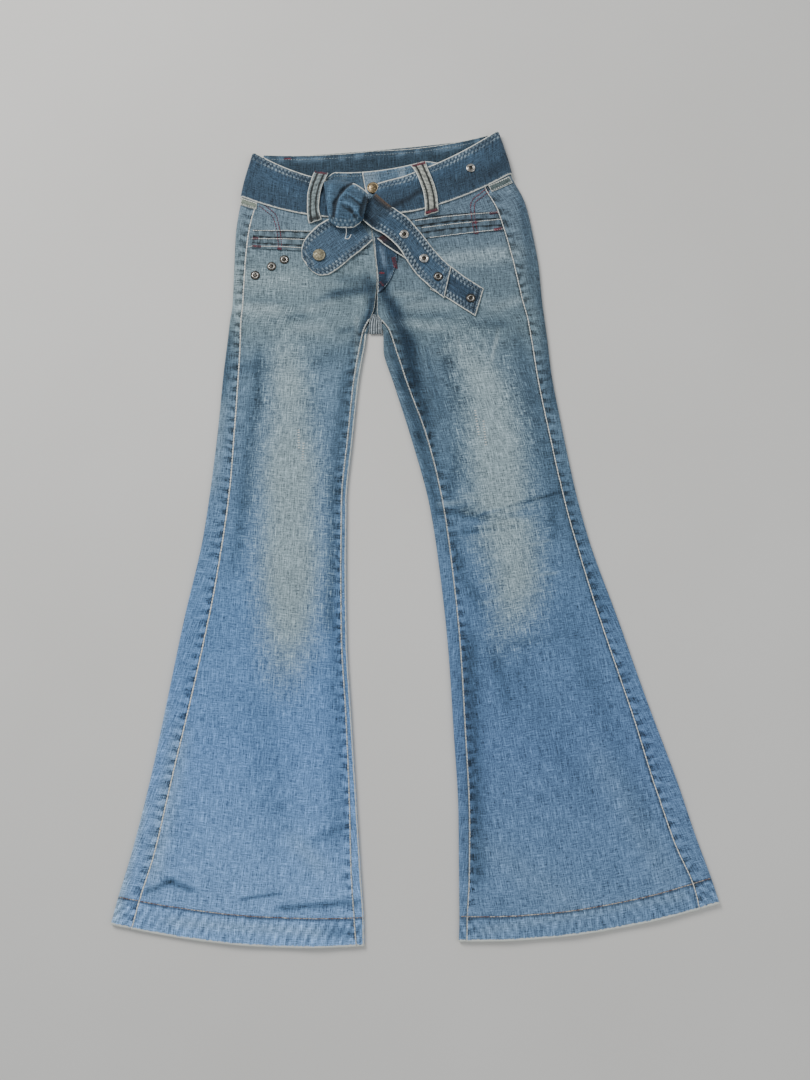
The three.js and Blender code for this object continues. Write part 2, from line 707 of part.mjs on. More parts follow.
for (const side of ["right", "left"])
  laidBand(`belt_loop_${side}`, "trim", LOOPS[side], 2, LOOPS.thick, 8);
laidBand("belt_tab", "band", TAB, 4, BAND_CLOTH, BAND_REACH);
laidBand("belt_under_fold", "band", UNDER_FOLD, 3, BAND_CLOTH, BAND_REACH);
laidBand("belt_tail_end", "band", TAIL_END, 3, BAND_CLOTH, BAND_REACH);
laidBand("belt_tail", "band", TAIL, 3, BAND_CLOTH, BAND_REACH + 2);
addKnot();
for (const [name, x, y] of EYELETS)
  addTurned(name, "steel", eyeletProfile(EYELET), x, y, EYELET.radius);
addTurned("tab_snap", "bronze", capProfile(SNAP), ...SNAP_PLACE, SNAP.radius);
jeans.position.set(-MIDDLE.x, -MIDDLE.y, 0);

export default jeans;
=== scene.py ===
# Flared jeans with a wide denim belt knotted at the front, laid flat on their back. Shapes are
# worked out in millimetres and written in metres: +Y is the waist, -X the wearer's right side.
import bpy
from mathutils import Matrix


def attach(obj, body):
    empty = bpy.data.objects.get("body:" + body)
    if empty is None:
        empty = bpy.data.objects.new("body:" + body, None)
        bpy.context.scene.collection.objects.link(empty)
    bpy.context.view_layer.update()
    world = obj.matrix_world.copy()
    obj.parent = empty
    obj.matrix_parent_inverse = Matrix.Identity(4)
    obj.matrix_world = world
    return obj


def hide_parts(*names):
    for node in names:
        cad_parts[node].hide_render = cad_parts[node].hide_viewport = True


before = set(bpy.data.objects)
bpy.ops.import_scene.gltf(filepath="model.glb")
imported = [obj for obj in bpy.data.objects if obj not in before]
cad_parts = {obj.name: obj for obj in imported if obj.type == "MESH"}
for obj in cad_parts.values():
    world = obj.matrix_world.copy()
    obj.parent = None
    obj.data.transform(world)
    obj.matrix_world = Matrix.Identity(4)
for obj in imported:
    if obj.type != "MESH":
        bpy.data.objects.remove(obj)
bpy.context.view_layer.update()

from types import SimpleNamespace

import bpy
import numpy as np
from mathutils import Vector

# The floor is a plain pale slab under soft studio light: one broad lamp from the upper left, a
# weaker one from the right. The camera stands over the cloth, ten degrees off straight down.
MM = 0.001
LOOKS_AT = np.array([-13.0, -39.0, 0.0])
CAMERA_AWAY = 1250
CAMERA_TILT = np.radians(10)
LENS = 32
SENSOR_WIDTH = 36
FLOOR_HALF = 4.0
LAMPS = [
    # name x y z size watts (metres)
    ("key_lamp", -1.5, 1.5, 1.9, 1.3, 62),
    ("fill_lamp", 2.1, -0.6, 2.4, 2.4, 26),
]
SKY = (0.86, 0.93, 1.0)
SKY_STRENGTH = 0.42


def add_node(tree, kind, inputs=None, **settings):
    """A shader node of a kind, with its settings and with constants or sockets on its inputs."""
    node = tree.nodes.new("ShaderNode" + kind)
    for name, value in settings.items():
        setattr(node, name, value)
    for name, value in (inputs or {}).items():
        if isinstance(value, bpy.types.NodeSocket):
            tree.links.new(value, node.inputs[name])
        else:
            node.inputs[name].default_value = value
    return node


def work(tree, operation, *values):
    """The result of a Math node on up to three values."""
    return add_node(tree, "Math", dict(enumerate(values)), operation=operation).outputs[0]


def ease(tree, value, low, high, start=0.0, end=1.0):
    """A value taken smoothly from "start" at "low" to "end" at "high"."""
    inputs = {"Value": value, "From Min": low, "From Max": high, "To Min": start, "To Max": end}
    return add_node(tree, "MapRange", inputs, interpolation_type="SMOOTHSTEP").outputs[0]


def blend(tree, share, first, second, kind="MIX"):
    """Two colours mixed by a share."""
    node = add_node(tree, "Mix", {0: share, 6: first, 7: second}, data_type="RGBA")
    node.blend_type = kind
    return node.outputs[2]


def new_material(name):
    """An empty node material, with its tree and its Principled shader already wired up."""
    material = bpy.data.materials.new(name)
    material.use_nodes = True
    tree = material.node_tree
    tree.nodes.clear()
    shader = add_node(tree, "BsdfPrincipled")
    add_node(tree, "OutputMaterial", {"Surface": shader.outputs[0]})
    return material, tree, shader


def srgb(*levels):
    """A linear colour with alpha from display levels of 0 to 255."""
    level = np.array(levels) / 255
    return (*np.where(level < 0.04045, level / 12.92, ((level + 0.055) / 1.055) ** 2.4), 1.0)


def add_floor():
    """The slab that the cloth lies on, faintly clouded."""
    mesh = bpy.data.meshes.new("floor")
    corners = [(x * FLOOR_HALF, y * FLOOR_HALF, 0) for x, y in ((-1, -1), (1, -1), (1, 1), (-1, 1))]
    mesh.from_pydata(corners, [], [(0, 1, 2, 3)])
    floor = bpy.data.objects.new("floor", mesh)
    bpy.context.collection.objects.link(floor)
    material, tree, shader = new_material("pale_floor")
    place = add_node(tree, "TexCoord").outputs["Object"]
    cloud = add_node(tree, "TexNoise", {"Vector": place, "Scale": 3.0, "Detail": 6.0}).outputs[0]
    colour = blend(tree, cloud, srgb(214, 210, 203), srgb(226, 223, 218))
    tree.links.new(colour, shader.inputs["Base Color"])
    shader.inputs["Roughness"].default_value = 0.85
    mesh.materials.append(material)


def add_lamp(name, x, y, z, size, watts):
    """A square lamp turned towards the middle of the floor."""
    lamp = bpy.data.lights.new(name, "AREA")
    lamp.size = size
    lamp.energy = watts
    holder = bpy.data.objects.new(name, lamp)
    holder.location = (x, y, z)
    holder.rotation_euler = (Vector((0, 0, 0)) - holder.location).to_track_quat("-Z", "Y").to_euler()
    bpy.context.collection.objects.link(holder)


add_floor()
for lamp_row in LAMPS:
    add_lamp(*lamp_row)
world = bpy.data.worlds.new("studio")
world.use_nodes = True
world.node_tree.nodes["Background"].inputs[0].default_value = (*SKY, 1)
world.node_tree.nodes["Background"].inputs[1].default_value = SKY_STRENGTH
bpy.context.scene.world = world
camera = bpy.data.objects.new("camera", bpy.data.cameras.new("camera"))
camera.data.lens = LENS
camera.data.sensor_width = SENSOR_WIDTH
camera_way = np.array([0, -np.sin(CAMERA_TILT), np.cos(CAMERA_TILT)])
camera.location = (LOOKS_AT + CAMERA_AWAY * camera_way) * MM
camera.rotation_euler = (CAMERA_TILT, 0, 0)
bpy.context.collection.objects.link(camera)
bpy.context.scene.camera = camera

# The two back leg panels, of slub denim 1.2 mm thick. Each is cut wider than the front, so it comes
# round the outer fold to the side seam and, below the crotch, round the inner fold to the inseam.
CLOTH = 1.2
SEAM_GAP = 0.3
INNER_TURN = 2.8  # radius of the fold at a leg's inner edge
EDGE_SOFTNESS = 24  # how far in from a folded edge the top settles
INNER_FLAT = 12
HEM_ROW = 1  # the row of the hem's stitching
PANEL_TOP_ROW = 17
WAIST_ROW = 18
MIDDLE = np.array([1, 2.065, 0])  # the garment's middle in the frame of the tables
LEG_STEPS = 500
LEAST_TOP = 2.9  # the upper layer never sinks below this
LEAST_TURN = 0.3  # where less of the inner fold is left, the back panel ends flat
FAR = 60.0  # a distance at which no edge or seam shows
UP = np.array([0.0, 0.0, 1.0])
# Sections from the hem to the waist. Seen from above: the outer fold, the front panel's inner edge
# and the back panel's. Then the sag of the front's and the back's middle, how far the side seam
# lies in from the fold, how much inner fold there is, the height of the underside, and the height
# of the top at the outer fold and in the middle.
RIGHT_HALF = np.array([
    # sideX sideY frontX frontY backX backY bow backBow lap turn lift edge mid
    [-369, -511, -70, -535, -61, -536, 11, 11, 26, 1, 0, 6.2, 5.0],
    [-361, -478, -73, -501, -62, -502, 9, 9, 26, 1, 0, 6.2, 5.0],
    [-347, -425, -77, -449, -66, -450, 5, 5, 27, 1, 0, 6.2, 4.2],
    [-329, -341, -80, -364, -72, -365, 2, 2, 26, 1, 0, 6.2, 4.0],
    [-312, -243, -85, -266, -79, -267, 0, 0, 29, 1, 0, 6.2, 4.0],
    [-295, -142, -92, -163, -86, -164, 0, 0, 31, 1, 0, 6.2, 4.0],
    [-275, -38, -94, -55, -88, -56, 0, 0, 26, 1, 0, 6.2, 4.0],
    [-267, 30, -94, 14, -88, 13, 0, 0, 25, 1, 0, 6.2, 4.0],
    [-260, 110, -87, 98, -81, 97, 0, 0, 22, 1, 0, 6.2, 4.0],
    [-255, 190, -79, 183, -73, 182, 0, 0, 20, 1, 0, 6.2, 4.0],
    [-251, 236, -72, 226, -66, 225, 0, 0, 17, 1, 0, 6.2, 4.2],
    [-249, 262, -67, 250, -62.5, 247, 0, 0, 15, 0.7, 0, 6.2, 4.4],
    [-246, 290, -54, 281, -51.7, 272, 0, 0, 14, 0, 0, 6.2, 4.6],
    [-245.5, 345, -50.2, 326, -51.7, 330, 0, 0, 15, 0, 0, 6.2, 4.6],
    [-245, 385, -53.8, 362, -51.7, 370, 4, 1, 17, 0, 0, 6.4, 4.8],
    [-242, 417, -57.2, 388, -52.2, 402, 8, 2, 19, 0, 0, 7.0, 5.8],
    [-237.5, 441, -60.2, 410, -52.2, 432, 10, 2, 21, 0, 2.3, 8.8, 8.2],
    [-234, 462, -64.7, 438, -53.2, 468, 10, 2, 22, 0, 2.3, 8.8, 8.8],
    [-222.5, 509, -72.2, 480, -55.2, 515, 10, 4, 22, 0, 2.3, 8.8, 8.8],
])
LEFT_HALF = np.array([
    [371, -487, 62, -530, 53, -531, 12, 12, 25, 1, 0, 6.2, 5.0],
    [362, -456, 63, -500, 54, -501, 13, 13, 23, 1, 0, 6.2, 5.0],
    [346, -408, 66, -452, 54, -453, 8, 8, 27, 1, 0, 6.2, 4.2],
    [326, -341, 67, -381, 54, -382, 4, 4, 28, 1, 0, 6.2, 4.0],
    [293, -243, 63, -281, 49, -283, 0, 0, 23, 1, 0, 6.2, 4.0],
    [261, -142, 58, -178, 43, -180, 0, 0, 22, 1, 0, 6.2, 4.0],
    [227, -38, 48, -71, 32, -73, 0, 0, 17, 1, 0, 6.2, 4.0],
    [211, 30, 37, 10, 20, 8, 0, 0, 17, 1, 0, 6.2, 4.0],
    [195, 120, 17, 98, -3, 96, 0, 0, 18, 1, 0, 6.2, 4.0],
    [184, 190, -9, 173, -26, 171, 0, 0, 19, 1, 0, 6.2, 4.0],
    [180, 236, -25, 224, -41, 221, 0, 0, 21, 1, 0, 6.2, 4.2],
    [177, 264, -34, 251, -41.5, 247, 0, 0, 22, 0.7, 0, 6.2, 4.4],
    [174, 294, -49.8, 277, -51.3, 272, 0, 0, 26, 0, 0, 6.2, 4.6],
    [171, 340, -49.8, 326, -51.3, 330, 2, 0, 32, 0, 0, 6.2, 4.6],
    [165, 382, -53.4, 362, -51.3, 370, 5, 1, 35, 0, 0, 6.4, 4.8],
    [154, 436, -56.8, 388, -51.8, 402, 9, 2, 38, 0, 0, 7.0, 5.8],
    [135, 476, -59.8, 410, -51.8, 432, 12, 2, 38, 0, 2.3, 8.8, 8.2],
    [130, 498, -64.3, 438, -52.8, 468, 12, 2, 38, 0, 2.3, 8.8, 8.8],
    [117, 542, -71.8, 480, -54.8, 515, 12, 6, 38, 0, 2.3, 8.8, 8.8],
])
HALVES = {"right": RIGHT_HALF, "left": LEFT_HALF}
# Folds and creases of the upper layer, as soft ridges and troughs from one place to another.
CREASES = np.array([
    # fromX fromY toX toY width height
    [-245, 20, -120, 40, 22, -0.9],  # the largest folds
    [-262, -150, -150, -60, 30, 1.3],
    [-215, -500, -235, -250, 30, 1.8],
    [-120, -530, -130, -380, 26, 1.6],
    [-235, 300, -90, 240, 20, 1.4],
    [-210, 350, -80, 310, 20, 1.2],
    [-60, 290, -140, 60, 22, -0.9],
    [-30, 330, -36, 200, 16, 2.2],
    [30, 60, 175, 95, 18, 1.8],
    [45, 30, 185, 60, 16, -0.9],
    [0, 300, 120, 240, 22, 1.4],
    [10, 330, 130, 320, 18, 1.1],
    [190, -500, 150, -260, 30, 1.9],
    [290, -480, 250, -300, 28, 1.6],
    [110, -520, 95, -380, 24, 1.4],
    [215, -200, 120, -60, 30, 1.3],
    [-232, 318, -150, 300, 7, 0.7],  # whiskers across the right hip
    [-238, 292, -120, 278, 6, -0.7],
    [-236, 275, -150, 262, 6, 0.6],
    [-160, 262, -85, 280, 6, -0.8],
    [-228, 248, -140, 240, 7, 0.6],
    [-150, 236, -85, 255, 6, -0.7],
    [-215, 222, -140, 214, 8, 0.5],
    [-70, 285, -95, 205, 7, 1.0],
    [-20, 300, 60, 272, 6, -0.8],  # whiskers across the left hip
    [0, 285, 100, 258, 7, 0.8],
    [-5, 262, 70, 240, 6, -0.7],
    [20, 250, 130, 228, 8, 0.6],
    [60, 300, 140, 285, 7, 0.6],
    [-36, 300, -22, 215, 6, -0.8],  # the trough beside the crotch
    [-12, 235, 22, 160, 7, 1.0],
    [10, 205, 34, 120, 7, -0.7],
    [111, 236, 103, 206, 4, 0.5],
    [103, 206, 86, 160, 4, 0.5],
    [34, 2, 92, 5, 5, -0.9],  # drag lines at the left knee
    [60, -22, 150, -14, 5, 1.0],
    [95, 4, 190, 22, 5, -0.8],
    [70, -45, 165, -30, 7, 0.7],
    [60, -70, 150, -95, 8, -0.5],
    [120, 40, 190, 62, 7, 0.7],
    [60, 60, 110, 120, 8, 0.5],
    [-250, -30, -180, -20, 8, -0.6],  # round the right knee
    [-240, -60, -150, -48, 9, 0.6],
    [-170, -55, -110, -60, 7, -0.6],
    [-240, 70, -170, 85, 9, 0.5],
    [-255, 120, -190, 150, 8, -0.5],
    [-120, 110, -100, 30, 8, 0.6],
    [-250, -260, -190, -290, 14, 0.7],  # lower legs
    [-150, -240, -110, -330, 14, -0.6],
    [-300, -380, -250, -440, 13, 0.8],
    [-180, -420, -150, -480, 12, -0.7],
    [-340, -470, -285, -455, 8, 0.8],
    [130, -180, 180, -260, 14, 0.6],
    [230, -240, 260, -330, 14, -0.6],
    [90, -300, 130, -400, 13, 0.7],
    [170, -420, 210, -480, 12, -0.7],
    [300, -400, 330, -440, 10, 0.8],
])
PUCKER_PITCH = 13.4  # from one pucker of a side seam to the next
PUCKER_REACH = 9.0


def smooth(value, low, high):
    """0 up to "low", 1 from "high", with a smooth cubic between them."""
    share = np.clip((value - low) / (high - low), 0, 1)
    return share * share * (3 - 2 * share)


def between(table, rows):
    """A table's columns at any rows: a cubic through each whose slope at a row is the harmonic mean
    of the rises on its two sides, or nothing where they differ in sign, so it never swings past."""
    rows = np.asarray(rows, float)
    i = np.clip(rows.astype(int), 0, len(table) - 2)
    t = (rows - i)[:, None]
    rise = np.diff(table, axis=0)
    below, above = np.vstack([rise[:1], rise]), np.vstack([rise, rise[-1:]])
    same = below * above > 0
    slope = np.where(same, 2 * below * above / np.where(same, below + above, 1), 0)
    return (
        table[i] * (2 * t**3 - 3 * t**2 + 1) + slope[i] * (t**3 - 2 * t**2 + t)
        + table[i + 1] * (3 * t**2 - 2 * t**3) + slope[i + 1] * (t**3 - t**2)
    )


def section_at(table, rows):
    """The half's sections at any rows, with the ways and widths worked out from them."""
    value = between(table, rows)
    names = "bow back_bow lap turn lift edge mid".split()
    s = SimpleNamespace(**{name: value[:, 6 + k, None] for k, name in enumerate(names)})
    s.side, s.front, s.back = (value[:, None, k : k + 2] for k in (0, 2, 4))
    s.top_start = s.front + (s.back - s.front) * s.turn[..., None]
    s.top_span = np.linalg.norm(s.side - s.top_start, axis=-1)
    s.bottom_span = np.linalg.norm(s.side - s.back, axis=-1)
    s.top_way = (s.side - s.top_start) / s.top_span[..., None]
    s.bottom_way = (s.side - s.back) / s.bottom_span[..., None]
    s.outer_turn = (s.edge - s.lift) / 2
    s.inner_start = INNER_TURN * s.turn
    return s


def line_bell(x, y, line):
    """A bell across a line from one place to another, fading out past its ends."""
    x0, y0, x1, y1, width = line[:5]
    length = np.hypot(x1 - x0, y1 - y0)
    along = ((x - x0) * (x1 - x0) + (y - y0) * (y1 - y0)) / length
    across = ((x - x0) * (y1 - y0) - (y - y0) * (x1 - x0)) / length
    past = np.maximum(0, np.maximum(-along, along - length))
    return np.exp(-((across / width) ** 2) - (past / (2 * width)) ** 2)


def bells(x, y, table):
    """The sum of the bells across a table's lines, each times its last value."""
    return sum(line[5] * line_bell(x, y, line) for line in table)


def top_points(s, span):
    """Points of the top, "span" in from its start: on a straight line to the outer fold, sagging
    by a parabola, as high as bells at the two folds make it, plus the creases."""
    settled = s.top_span - s.outer_turn - s.inner_start
    share = np.clip((span - s.inner_start) / settled, 0, 1)
    place = s.top_start + s.top_way * span[..., None]
    x, y = place[..., 0], place[..., 1] - 4 * s.bow * share * (1 - share)
    outer = np.exp(-((np.maximum(0, s.top_span - s.outer_turn - span) / EDGE_SOFTNESS) ** 2))
    inner = s.turn * np.exp(-((np.maximum(0, span - s.inner_start) / EDGE_SOFTNESS) ** 2))
    flat = np.maximum(0, 1 - outer - inner)
    creases = bells(x, y, CREASES)
    free = flat * (1 - smooth(s.mid, 4.8, 5.8))
    z = s.edge * outer + (s.lift + 2 * INNER_TURN) * inner + s.mid * flat + free * creases
    place = np.stack([x, y, np.maximum(z, LEAST_TOP)], -1)
    return place, np.broadcast_to(UP, place.shape)


def turn_points(s, share):
    """Points of the outer fold: half a circle from its top (share 0) to the underside (1)."""
    angle = np.pi * (0.5 - share) + 0 * s.lift
    way = s.top_way * (1 - share[..., None]) + s.bottom_way * share[..., None]
    way = way / np.linalg.norm(way, axis=-1, keepdims=True)
    flat = s.side + way * (s.outer_turn * (np.cos(angle) - 1))[..., None]
    z = s.lift + s.outer_turn * (1 + np.sin(angle))
    away = np.concatenate([way * np.cos(angle)[..., None], np.sin(angle)[..., None]], -1)
    return np.concatenate([flat, z[..., None]], -1), away


def under_points(s, span):
    """Points of the flat underside, "span" out from the back panel's inner edge."""
    settled = s.bottom_span - s.outer_turn - s.inner_start
    share = np.clip((span - s.inner_start) / settled, 0, 1)
    place = s.back + s.bottom_way * span[..., None]
    y = place[..., 1] - 4 * s.back_bow * share * (1 - share)
    place = np.stack([place[..., 0], y, s.lift + 0 * y], -1)
    return place, np.broadcast_to(-UP, place.shape)


def inner_points(s, share):
    """Points of the inner edge, by their share of the way from the flat underside, up half a circle
    and over the top to the inseam. Above the crotch the circle and the top shrink to nothing."""
    radius = np.where(s.turn > LEAST_TURN, np.maximum(s.inner_start, CLOTH), 0)
    arc = np.pi * radius
    seam = np.linalg.norm(s.front - s.top_start, axis=-1) - SEAM_GAP
    over = np.maximum(0, seam - s.inner_start) * s.turn * (s.turn > LEAST_TURN)
    way = share * (INNER_FLAT + arc + over)
    under, down = under_points(s, s.inner_start + INNER_FLAT - np.minimum(way, INNER_FLAT))
    angle = np.pi * np.clip((way - INNER_FLAT) / np.maximum(arc, 1e-6), 0, 1)
    flat = s.back + s.bottom_way * (s.inner_start - radius * np.sin(angle))[..., None]
    z = s.lift + radius * (1 - np.cos(angle))
    fold = np.concatenate([flat, z[..., None]], -1)
    out = [-s.bottom_way * np.sin(angle)[..., None], -np.cos(angle)[..., None]]
    top, up = top_points(s, s.inner_start + np.maximum(0, way - INNER_FLAT - arc))
    top[..., 2] = np.maximum(top[..., 2] - (s.mid - s.lift) * (1 - s.turn), s.lift + 2 * CLOTH)
    on_fold = (way > INNER_FLAT)[..., None]
    on_top = (way > INNER_FLAT + arc)[..., None]
    place = np.where(on_top, top, np.where(on_fold, fold, under))
    return place, np.where(on_top, up, np.where(on_fold, np.concatenate(out, -1), down))


def lengths_along(path):
    """How far along a path each of its points lies, in millimetres."""
    return np.concatenate([[0], np.cumsum(np.linalg.norm(np.diff(path, axis=0), axis=1))])


def even_rows(table, count, last):
    """Row numbers whose sections lie evenly along the middle of the half."""
    fine = np.linspace(0, last, 1200)
    s = section_at(table, fine)
    length = lengths_along((s.side + s.top_start)[:, 0] / 2)
    return np.interp(np.linspace(0, length[-1], count), length, fine)


def joined(*zones):
    """Zones of points and their directions, side by side as one grid."""
    return tuple(np.concatenate(parts, axis=1) for parts in zip(*zones))


def spans(start, end, steps):
    """Even steps from a start to an end, for each row, the start left out."""
    return start + (end - start) * np.linspace(0, 1, steps + 1)[1:]


def puckers(seam, along, strength=1.0):
    """How far a seam's puckers lift the cloth: a wave along the seam that fades away from it."""
    wave = np.sin(2 * np.pi * along / PUCKER_PITCH + 2.2 * np.sin(along / 37) + 0.1 * seam)
    return strength * 0.42 * wave * np.exp(-np.abs(seam) / PUCKER_REACH)


def reach(grid, axis):
    """How far along each line of a grid its points lie, in millimetres."""
    steps = np.linalg.norm(np.diff(grid, axis=axis), axis=-1)
    steps = np.cumsum(steps, axis=axis)
    return np.concatenate([np.zeros_like(np.take(steps, [0], axis)), steps], axis=axis)


def cloth_uv(grid):
    """Metres across from the middle column and metres along it."""
    across = reach(grid, 1)
    along = reach(grid, 0)[:, grid.shape[1] // 2, None]
    return np.stack([across - across[:, -1:] / 2, along + 0 * across], -1) * MM


def link_piece(name, mesh, material, nodes):
    """A piece made of a mesh: it rides on the one body and stands for nodes of the frame."""
    piece = bpy.data.objects.new(name, mesh)
    bpy.context.collection.objects.link(piece)
    mesh.materials.append(material)
    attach(piece, "root")
    if nodes:
        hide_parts(*nodes)
    return piece


def cloth_piece(name, grid, thick, nodes, dye, fade=0, edge=FAR, seam=FAR, away=UP):
    """A wall of denim on a grid of outer points: each four neighbours make a face, and a modifier
    adds the inner face and the rims. Its points carry the dye, the fading, and the distances in
    millimetres to the nearest worn edge and the nearest seam."""
    rows, columns = grid.shape[:2]
    corner = np.arange(rows * columns).reshape(rows, columns)
    faces = [corner[:-1, :-1], corner[:-1, 1:], corner[1:, 1:], corner[1:, :-1]]
    faces = np.stack(faces, -1).reshape(-1, 4)
    flat = grid.reshape(-1, 3)
    normals = np.cross(flat[faces[:, 1]] - flat[faces[:, 0]], flat[faces[:, 3]] - flat[faces[:, 0]])
    away = np.broadcast_to(away, grid.shape).reshape(-1, 3)
    if (normals * away[faces[:, 0]]).sum() < 0:
        faces = faces[:, ::-1]
    mesh = bpy.data.meshes.new(name)
    mesh.vertices.add(len(flat))
    mesh.vertices.foreach_set("co", ((flat - MIDDLE) * MM).ravel())
    mesh.loops.add(faces.size)
    mesh.loops.foreach_set("vertex_index", faces.ravel())
    mesh.polygons.add(len(faces))
    mesh.polygons.foreach_set("loop_start", np.arange(len(faces)) * 4)
    mesh.update(calc_edges=True)
    mesh.polygons.foreach_set("use_smooth", np.ones(len(faces), bool))
    uv = cloth_uv(grid).reshape(-1, 2)[faces.ravel()]
    mesh.uv_layers.new(name="cloth").data.foreach_set("uv", uv.ravel())
    dye = np.broadcast_to(dye, (rows, columns, 3)).reshape(-1, 3)
    linear = np.concatenate([np.stack(srgb(*dye.T)[:3], -1), np.ones((len(dye), 1))], 1)
    colours = mesh.attributes.new("dye", "FLOAT_COLOR", "POINT")
    colours.data.foreach_set("color", linear.ravel())
    for label, value in (("fade", fade), ("edge", edge), ("seam", seam)):
        layer = mesh.attributes.new(label, "FLOAT", "POINT")
        layer.data.foreach_set("value", np.broadcast_to(value, (rows, columns)).ravel())
    piece = link_piece(name, mesh, denim, nodes)
    wall = piece.modifiers.new("wall", "SOLIDIFY")
    wall.thickness = thick * MM
    wall.offset = -1
    raise_ground(grid)
    return piece


# The heights of what is laid down so far, on cells seen from above, for the pieces that lie on it.
CELL = 1.5
GROUND_FROM = np.array([-400.0, -570.0])
ground = np.zeros((760, 534))


def halved(grid):
    """The grid with a point added half-way between each two, both ways."""
    for axis in (0, 1):
        grid = np.swapaxes(grid, 0, axis)
        fine = np.empty((2 * len(grid) - 1, *grid.shape[1:]))
        fine[::2], fine[1::2] = grid, (grid[1:] + grid[:-1]) / 2
        grid = np.swapaxes(fine, 0, axis)
    return grid


def raise_ground(grid):
    """Every cell under a piece is raised to the piece's own height."""
    while max(np.abs(np.diff(grid[..., :2], axis=k)).max() for k in (0, 1)) > CELL:
        grid = halved(grid)
    cell = ((grid[..., :2] - GROUND_FROM) / CELL).round().astype(int).reshape(-1, 2)
    np.maximum.at(ground, (cell[:, 1], cell[:, 0]), grid[..., 2].ravel())


def windows(area, size):
    """The square of "size" cells a side around each cell."""
    padded = np.pad(area, size // 2, mode="edge")
    return np.lib.stride_tricks.sliding_window_view(padded, (size, size))


def ground_at(x, y, width=0.0):
    """The height to lie on: the highest ground within "width" of a place, then averaged over half
    of that, so what is laid there bridges hollows but dips into nothing."""
    size = 2 * max(1, int(round(width / CELL))) + 1
    low = ((np.array([x.min(), y.min()]) - GROUND_FROM) / CELL).astype(int) - size - 2
    high = ((np.array([x.max(), y.max()]) - GROUND_FROM) / CELL).astype(int) + size + 3
    area = ground[low[1] : high[1], low[0] : high[0]]
    if width:
        area = windows(area, size).max(axis=(2, 3))
    area = windows(area, 2 * (size // 4) + 1).mean(axis=(2, 3))
    u = (x - GROUND_FROM[0]) / CELL - low[0]
    v = (y - GROUND_FROM[1]) / CELL - low[1]
    i, j = v.astype(int), u.astype(int)
    fu, fv = u - j, v - i
    lower = area[i, j] * (1 - fu) + area[i, j + 1] * fu
    upper = area[i + 1, j] * (1 - fu) + area[i + 1, j + 1] * fu
    return lower * (1 - fv) + upper * fv


